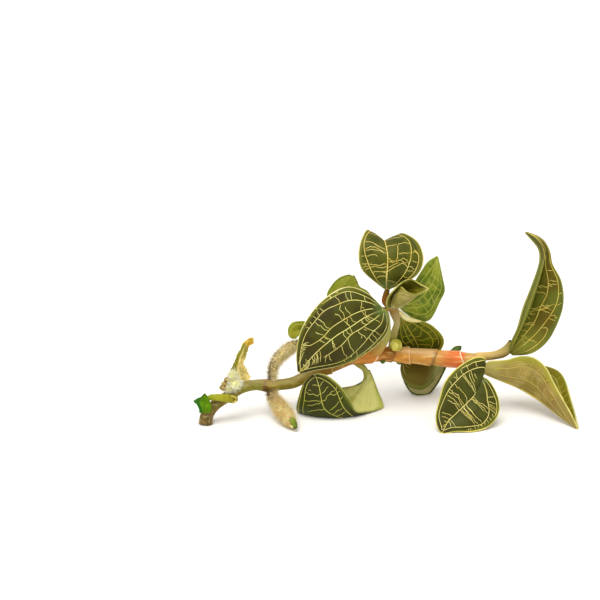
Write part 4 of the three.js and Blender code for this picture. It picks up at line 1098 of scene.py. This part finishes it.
def keel_tube(blade):
    """The midrib's tube below the blade: its curve, and its radius at each ring."""
    share = np.linspace(0, 1, KEEL_STEPS + 1)
    u = blade.start + (KEEL_END - blade.start) * share
    middle = np.zeros(len(u))
    radius = np.interp(share, np.linspace(0, 1, len(KEEL)), KEEL)
    below = blade.normal(u, middle) * (radius * KEEL_DROP)[:, None]
    rings = np.linspace(0, 1, KEEL_GRID[0] + 1)
    return Curve(blade.at(u, middle) - below), np.interp(rings, share, radius)[:, None]


def leaf_looks(name, style):
    """A leaf's materials: upper and lower skin, veins of both faces, rim and stalk."""
    gold, amber, pale = style["veins"]
    if style.get("flipped"):
        upper = underside(name + "_upper", *style["upper"], grain=240.0)
    else:
        upper = velvet(name + "_upper", *style["upper"])
    return [
        upper,
        underside(name + "_under", *style["under"]),
        vein(name + "_gold", gold, amber, pale),
        vein(name + "_pale", pale, amber, pale),
        plain_skin(name + "_rim", *style.get("rim", RIM_COLOURS), 0.45, 110.0),
        lengthwise(name + "_stalk", *zip((0.0, 0.45, 1.0), style["stalk"])),
    ]


def make_leaf(leaf):
    name = leaf["name"]
    style = STYLES[name]
    blade = Blade(leaf)
    looks = leaf_looks(name, style)
    upper, under, bright, faint, rim, stalk = range(len(looks))
    piece = Piece(name + "_fine", looks)

    lines = [refine(blade, line) for line in vein_net(name)]
    u, v = blade.mesh(*style["grid"])
    middle = blade.at(u, v)
    normal = blade.normal(u, v)
    rise = swollen(blade, u, v, lines)[..., None]
    spots = blade_places(u, v)
    piece.grid(middle + normal * (HALF_BLADE + rise), spots, upper)
    piece.grid(middle - normal * (HALF_BLADE - QUILT_BELOW * rise), spots, under, turned=True)
    for line in lines:
        piece.grid(*ridge(blade, line, 1), bright)
        piece.grid(*ridge(blade, line, -1), faint)
    piece.grid(*rim_tube(blade, *style["grid"]), rim, ring=True)

    keel, radius = keel_tube(blade)
    piece.tube(keel, *KEEL_GRID, faint, radius)
    piece.tube(Curve(leaf["stalk"]), *STALK_GRID, stalk)
    piece.build("leaf_fresh" if name in FRESH else "leaf_velvet", name)


# ---------------------------------------------------------------- stem, shoot and bud
STEM = Curve(STEM_PATH, 400)
STEM_RINGS = 520
STEM_SIDES = 48
STEM_INSET = 0.05  # how far inside the part's stem the skin lies, without its ribs, mm
END_RINGS = np.linspace(1, 0.02, 7)  # shares of the radius at the rings that close an end
# Ribs of the skin and waves of the sheaths: height in mm, and how many there are round the stem.
STEM_RIBS = (0.035, 13)
WINDING_RIBS = (0.03, 5)
WINDING = 40.0  # radians by which these wind from end to end
SHEATH_WAVES = (0.06, 3)
SHEATH_TURN = 80.0  # turns the waves from one sheath to the next
SHEATH_STEPS = 21  # steps from a sheath's foot to its mouth
SHEATH_SWELL = 1.4  # power of the share by which a sheath rises to its mouth

CUT_HAIRS = 420  # torn fibres round the cut end
CUT_HAIR_REACH = 0.045  # share of the stem that they cover
CUT_HAIR_STEPS = 8  # steps of that share at which their directions are worked out
CUT_HAIR_LENGTHS = (0.4, 1.1)  # shortest and longest, mm
CUT_HAIR_RADIUS = 0.06
CUT_HAIR_SEED = 41


def stem_skins(piece, skin, cut):
    """The ribbed skin of the stem with both ends closed, and the sheaths round it."""
    shares = np.linspace(0, 1, STEM_RINGS + 1)
    angles = turns(STEM_SIDES)
    ribs = waves(*STEM_RIBS, angles) + waves(*WINDING_RIBS, angles, WINDING * shares[:, None])
    points, _ = STEM.tube(STEM_RINGS, STEM_SIDES, STEM.radius(shares)[:, None] - STEM_INSET + ribs)
    spots = places(shares, [0.0] * STEM_SIDES)
    piece.grid(points, spots, skin, ring=True)
    for end, look, turned in ((0, cut, True), (-1, skin, False)):
        centre = STEM.at(shares[end])
        cap = centre + (points[end] - centre) * END_RINGS[:, None, None]
        piece.grid(cap, spots[[end]], look, turned=turned, ring=True)

    rise = np.linspace(0, 1, SHEATH_STEPS + 1)
    outside = np.r_[rise, LIP[:, 0]]
    inside = np.minimum(outside, 1)[:, None]
    height = MOUTH * np.r_[rise**SHEATH_SWELL, LIP[:, 1]][:, None]
    for foot, mouth, slant in SHEATHS:
        level = foot + (mouth - foot) * outside
        spokes = STEM.spokes(np.clip(level, 0, 1), STEM_SIDES)
        share = level[:, None] + slant * spokes[..., 2] * inside**2
        wave = waves(*SHEATH_WAVES, angles, SHEATH_TURN * foot) * inside
        radius = STEM.radius(share) + height + wave
        spots = np.stack([share, np.broadcast_to(inside, share.shape)], axis=-1)
        piece.grid(STEM.at(share) + spokes * radius[..., None], spots, skin, ring=True)


def cut_fibres():
    """The torn fibres round the cut end."""
    rng = np.random.default_rng(CUT_HAIR_SEED)
    side = rng.integers(0, STEM_SIDES, CUT_HAIRS)
    level = rng.uniform(0, CUT_HAIR_REACH, CUT_HAIRS)
    rings = STEM.spokes(np.linspace(0, CUT_HAIR_REACH, CUT_HAIR_STEPS + 1), STEM_SIDES)
    spoke = rings[(level / CUT_HAIR_REACH * CUT_HAIR_STEPS).astype(int), side]
    base = STEM.at(level) + spoke * (STEM.radius(level) - 0.1)[:, None]
    lean = unit(spoke * 0.5 + rng.normal(0, 0.5, spoke.shape) - STEM.tangent(level) * 0.6)
    return strands(base, lean, rng.uniform(*CUT_HAIR_LENGTHS, CUT_HAIRS), CUT_HAIR_RADIUS, rng)


def ball(x, y, z, radius, lobe, lobes, rows=24, sides=36):
    """A ball in rings from top to bottom. lobe: share of the radius from a dip of it to a lobe."""
    down = np.linspace(0.02, math.pi - 0.02, rows + 1)[:, None]
    angles = turns(sides)[None]
    size = radius * (1 + waves(lobe * 0.5, lobes, angles, 2 * down) * np.sin(down))
    points = np.stack([np.sin(down) * np.cos(angles), np.sin(down) * np.sin(angles),
                       np.cos(down) * np.ones_like(angles)], axis=-1)
    spots = places(down[:, 0] / math.pi, angles[0] / (2 * math.pi))
    return np.array([x, y, z]) + points[:, ::-1] * size[:, ::-1, None], spots[:, ::-1]


def make_stem():
    looks = [
        stem_skin(),
        # The shoot is darker olive at its foot: partly its own green, partly painted shade.
        lengthwise("shoot_skin", (0.0, "7c742c"), (0.35, "a49c54"), (0.7, "bcae78"), (1.0, "a47c40")),
        plain_skin("bud_skin", "d4cc68", "a4a034", 0.4, 420.0),
        plain_skin("cut_face", "8a7a48", "5f5028", 0.7, 900.0),
        plain_skin("knot_skin", "ac8444", "8c6c30", 0.45, 400.0),
        plain_skin("cut_fibre", "e8d8a0", "a89458", 0.8, 500.0),
        plain_skin("nub_skin", "5a6c28", "44541c", 0.5, 500.0),
    ]
    skin, shoot, bud, cut, knot, fibre, nub = range(len(looks))
    piece = Piece("stem_fine", looks)
    stem_skins(piece, skin, cut)
    piece.grid(*cut_fibres(), fibre, ring=True)
    piece.tube(Curve(SHOOT_PATH), 60, 28, shoot)
    piece.grid(*ball(*KNOT, lobe=0.12, lobes=5), knot, ring=True)
    piece.grid(*ball(*BUD, lobe=0.08, lobes=7), bud, ring=True)
    piece.grid(*ball(*NUB, lobe=0.1, lobes=3), nub, ring=True)
    piece.build("stem_skin", "stem")


# ---------------------------------------------------------------- roots and remains
HAIR_STEPS = 3  # straight stretches of a hair
ROOT_GRID = (90, 28)  # rings and sides of a root's core, and of the peeled strip
ROOT_CORE = 0.86  # radius of a root's core, as a share of the part's
ROOT_LUMPS = 0.09  # height of its lumps, as a share of its radius
HAIR_FOOT = 0.84  # share of the part's radius at which the hairs start
HAIR_RINGS = 100  # steps along a root at which the hairs' directions are worked out
HAIR_SIDES = 60  # directions at each step
ROOT_HAIR_RADIUS = 0.05
SHORTEST_HAIR = 0.4  # share of the longest there
# Shares of a root's length, and how long the longest hairs are there, as shares of reach.
COAT = ([0, 0.15, 0.7, 0.92], [0.5, 1, 1, 0.35])
STRAY_BROWN = 0.05  # share of brown hairs all over a root
LEFT_BROWN = 0.7  # how many more of them are left of its start
COLLAR_END = 0.2  # share of its length at which the brown collar ends
# Bare tip: shares of its length that are left to the end, and the radii there, mm.
BARE_TIP = [(1.0, 1.2), (0.7, 1.75), (0.35, 1.45), (0.08, 0.9), (0.0, 0.4)]
TIP_SHIFT = [0.5, -0.3, 0.2]  # how far the bare tip lies beside the root's line, mm

SCRAP_GRID = (70, 40)  # rows and columns
SCRAP_THICK = 0.22  # half of a scrap's thickness, mm
CREASE = 0.25  # height of its wrinkles, mm
TEAR = 0.12  # how far its edge is torn in, as a share of the half width
PEEL_FLAT = (0.16, 2)  # share by which the peeled strip is wider and lower than round, on two sides
PEEL_KNOBS = 0.08  # height of the swellings along it, as a share
PEEL_RING_WAVES = (0.12, 3)  # height, mm, and number of the waves of its ring
TUFT_CORE = (0.76, 0.22, 5, 14, 20)  # share of a lump's radius, then lobes and grid of its ball
TUFT_HAIRS = 2000
TUFT_HAIR_FOOT = 0.7  # share of a lump's radius at which they start
TUFT_HAIR_LENGTHS = (0.6, 2.0)
TUFT_HAIR_RADIUS = 0.09
TUFT_CURL = 0.5
TUFT_SEED = 71


def strands(roots, directions, lengths, radius, rng, curl=0.35):
    """Thin three-sided hairs that leave the points and bend at random, as a stack of grids."""
    count = len(roots)
    share = np.linspace(0, 1, HAIR_STEPS + 1)
    bend = rng.normal(0, curl, (count, 3))
    bend[:, 2] -= curl * 0.3
    path = roots[:, None] + lengths[:, None, None] * (
        directions[:, None] * share[:, None] + bend[:, None] * (share**2)[:, None])
    along = unit(np.gradient(path, axis=1))
    side = unit(np.cross(along, rng.normal(0, 1, (count, 1, 3))))
    other = np.cross(along, side)
    angles = turns(3)
    ring = side[:, :, None] * np.cos(angles)[:, None] + other[:, :, None] * np.sin(angles)[:, None]
    thin = radius * (1 - 0.75 * share)[:, None, None]
    return path[:, :, None] + ring * thin, places(share, angles / (2 * math.pi))


def make_root(name, path, colours, hairs, reach, brown_to, collar, bare, seed):
    """A fuzzy root: a lumpy core in a coat of short hairs, brown ones left of its start, and a bare tip."""
    rng = np.random.default_rng(seed)
    curve = Curve(path)
    looks = [
        root_skin(name + "_core", *colours),
        plain_skin(name + "_hair", *colours, 0.85, 350.0, Sheen_Weight=0.6),
        plain_skin(name + "_brown_hair", "6c5430", "54401f", 0.85, 350.0),
        plain_skin(name + "_tip", "7c8c20", "54681c", 0.5),
    ]
    core, hair, brown, tip = range(len(looks))
    piece = Piece(name + "_fine", looks)
    rings, sides = ROOT_GRID
    shares = np.linspace(0, 1, rings + 1)
    lumps = 1 + ROOT_LUMPS * np.sin(shares * 60)[:, None] * np.cos(np.arange(sides) * 1.3)
    piece.tube(curve, rings, sides, core, curve.radius(shares)[:, None] * ROOT_CORE * lumps)

    place = rng.uniform(0.02, 1 - 0.3 * bare, hairs)
    ring = curve.spokes(np.linspace(0, 1, HAIR_RINGS + 1), HAIR_SIDES)
    spoke = ring[(place * HAIR_RINGS).astype(int), rng.integers(0, HAIR_SIDES, hairs)]
    base = curve.at(place) + spoke * (curve.radius(place) * HAIR_FOOT)[:, None]
    lean = unit(spoke + rng.normal(0, 0.45, (hairs, 3)))
    length = rng.uniform(SHORTEST_HAIR, 1, hairs) * reach * np.interp(place, *COAT)
    left = np.clip(0.35 - spoke[:, 0], 0, 1) * np.clip(1.2 - place / brown_to, 0, 1)
    start = np.clip(1 - place / COLLAR_END, 0, 1)
    is_brown = rng.random(hairs) < STRAY_BROWN + LEFT_BROWN * left + collar * start
    for coat, look in ((is_brown, brown), (~is_brown, hair)):
        piece.grid(*strands(base[coat], lean[coat], length[coat], ROOT_HAIR_RADIUS, rng), look, ring=True)

    nub = Curve([[*(curve.at(1 - bare * back) + TIP_SHIFT), radius] for back, radius in BARE_TIP])
    piece.tube(nub, 20, 20, tip)
    piece.build("root_fuzz", name)


def make_scrap(leaf, slot, outer, inner):
    """A torn or dried piece of leaf base with a ragged edge."""
    rng = np.random.default_rng(leaf["seed"])
    ragged = leaf["ragged"]
    blade = Blade(leaf)
    piece = Piece(leaf["name"] + "_fine", [outer, inner])
    u, v = blade.mesh(*SCRAP_GRID)
    wrinkle = ragged * (np.sin(v * 19 + 3 * u) + 0.6 * np.sin(31 * u + 7 * v) + rng.normal(0, 0.12, u.shape))
    tear = 1 + TEAR * ragged * np.sin(47 * u) * np.sin(23 * u + v)
    middle = blade.at(u, np.clip(v * tear, -1, 1))
    normal = blade.normal(u, v)
    spots = blade_places(u, v)
    thick = SCRAP_THICK * np.clip((1.04 - np.abs(v)) / 0.2, 0.25, 1)[..., None]
    crease = CREASE * wrinkle[..., None]
    top, bottom = middle + normal * (crease + thick), middle + normal * (crease - thick)
    piece.grid(top, spots, 0)
    piece.grid(bottom, spots, 1, turned=True)
    edges = [(slice(None), 0), (slice(None), -1), (0, slice(None)), (-1, slice(None))]
    for edge, turned in zip(edges, (True, False, False, True)):
        piece.grid(np.stack([top[edge], bottom[edge]], axis=1), spots[edge][:, None], 0, turned=turned)
    piece.build(slot, leaf["name"])


def make_peel():
    """The peeled strip, a flattened tube, and the open ring at its torn end."""
    looks = [
        lengthwise("peel_skin", (0.0, "94a422"), (0.4, "a8a82c"), (0.75, "a09c28"), (1.0, "848420")),
        plain_skin("peel_edge", "d0bc64", "8c7c24", 0.5, 500.0),
    ]
    piece = Piece("peeled_strip_fine", looks)
    curve = Curve(PEEL_PATH)
    rings, sides = ROOT_GRID
    shares = np.linspace(0, 1, rings + 1)
    flat = 1 + waves(*PEEL_FLAT, turns(sides)) + PEEL_KNOBS * np.sin(40 * shares)[:, None]
    piece.tube(curve, rings, sides, 0, curve.radius(shares)[:, None] * flat)
    radius, thick = PEEL_RING_SIZE
    turn = np.linspace(0, 2 * math.pi, 37)
    wide = radius + waves(*PEEL_RING_WAVES, turn)
    x, y, z = PEEL_RING
    rim = np.full(len(turn), thick)
    mouth = [x + wide * np.cos(turn), y - 0.4 * np.cos(turn), z + wide * np.sin(turn), rim]
    piece.tube(Curve(np.stack(mouth, axis=-1)), 48, 12, 1)
    piece.build("peel_skin", "peeled_strip")


def make_tuft():
    """White fibres round a few soft lumps, with crumbs beside them."""
    rng = np.random.default_rng(TUFT_SEED)
    looks = [
        plain_skin("fibre_core", "fffcb0", "f0ec70", 0.9, 300.0),
        plain_skin("fibre_hair", "fffff0", "fffcb4", 0.85, 350.0, Sheen_Weight=1.0),
        plain_skin("crumb_skin", "b8a45c", "7c6034", 0.8, 900.0, depth=0.2),
    ]
    core, hair, crumb = range(len(looks))
    piece = Piece("fibre_tuft_fine", looks)
    for spot in CRUMBS:
        piece.grid(*ball(*spot, lobe=0.4, lobes=3), crumb, ring=True)
    share, *lumps = TUFT_CORE
    for x, y, z, radius in TUFT_BALLS:
        piece.grid(*ball(x, y, z, radius * share, *lumps), core, ring=True)
    pick = rng.integers(0, len(TUFT_BALLS), TUFT_HAIRS)
    centre = np.array(TUFT_BALLS)[pick]
    out = unit(rng.normal(0, 1, (TUFT_HAIRS, 3)))
    base = centre[:, :3] + out * (centre[:, 3:] * TUFT_HAIR_FOOT)
    lean = unit(out + rng.normal(0, 0.6, (TUFT_HAIRS, 3)))
    length = rng.uniform(*TUFT_HAIR_LENGTHS, TUFT_HAIRS)
    piece.grid(*strands(base, lean, length, TUFT_HAIR_RADIUS, rng, TUFT_CURL), hair, ring=True)
    piece.build("fibre_white", "fibre_tuft")


# ---------------------------------------------------------------- stage
CAMERA_AT = np.array([-38.72, -682.21, 273.48])
CAMERA_TILT = 72.0  # degrees up from straight down
LENS = 100.0  # focal length, mm
SENSOR_WIDTH = 36.0
SKY = (1.0, 0.965, 0.91, 1.0)
SKY_STRENGTH = 0.8
SUN = (1.0, 0.98, 0.95)
SUN_STRENGTH = 2.0
SUN_SPREAD = 50.0  # degrees, for soft shadows
SUN_TOWARD = (0.2, 0.3, -1)
FLOOR_REACH = 12.0  # metres to each side, past what the camera sees


def add_sky(scene):
    world = bpy.data.worlds.new("studio")
    world.use_nodes = True
    background = world.node_tree.nodes["Background"]
    background.inputs["Color"].default_value = SKY
    background.inputs["Strength"].default_value = SKY_STRENGTH
    scene.world = world


def add_floor(scene):
    corners = [(x * FLOOR_REACH, y * FLOOR_REACH, 0) for x, y in ((-1, -1), (1, -1), (1, 1), (-1, 1))]
    mesh = bpy.data.meshes.new("floor")
    mesh.from_pydata(corners, [], [(0, 1, 2, 3)])
    mesh.materials.append(Paint("floor_white", 0.7).finish(rgb("fbfbfb")))
    floor = bpy.data.objects.new("floor", mesh)
    scene.collection.objects.link(floor)


def add_sun(scene):
    """A distant soft light."""
    data = bpy.data.lights.new("key", "SUN")
    data.energy = SUN_STRENGTH
    data.angle = math.radians(SUN_SPREAD)
    data.color = SUN
    light = bpy.data.objects.new("key", data)
    x, y, z = SUN_TOWARD
    light.rotation_euler = Euler((math.atan2(math.hypot(x, y), -z), 0.0, math.atan2(y, x) - math.pi / 2))
    scene.collection.objects.link(light)


def add_camera(scene):
    data = bpy.data.cameras.new("camera")
    data.lens = LENS
    data.sensor_width = SENSOR_WIDTH
    camera = bpy.data.objects.new("camera", data)
    camera.location = (CAMERA_AT + CENTRING) * MM
    camera.rotation_euler = Euler((math.radians(CAMERA_TILT), 0.0, 0.0))
    scene.collection.objects.link(camera)
    scene.camera = camera


def make_stage():
    scene = bpy.context.scene
    scene.view_settings.view_transform = "Standard"
    for add in (add_sky, add_floor, add_sun, add_camera):
        add(scene)


make_stage()
for leaf in LEAVES:
    make_leaf(leaf)
make_stem()
for root in ROOTS:
    make_root(**root)
make_scrap(
    DRIED_SHEATH, "sheath_paper",
    paper_skin("sheath_outside", "a4a038", "f0dc90", "d8b448", "88882c"),
    paper_skin("sheath_inside", "b0a844", "f4e498", "d8b448", "989434"))
make_scrap(
    TORN_SCRAP, "scrap_green",
    torn_skin("scrap_outside", "6a9800", "4a7200", "2c6a10"),
    torn_skin("scrap_inside", "7aa41c", "5a8410", "2c6a10"))
make_peel()
make_tuft()
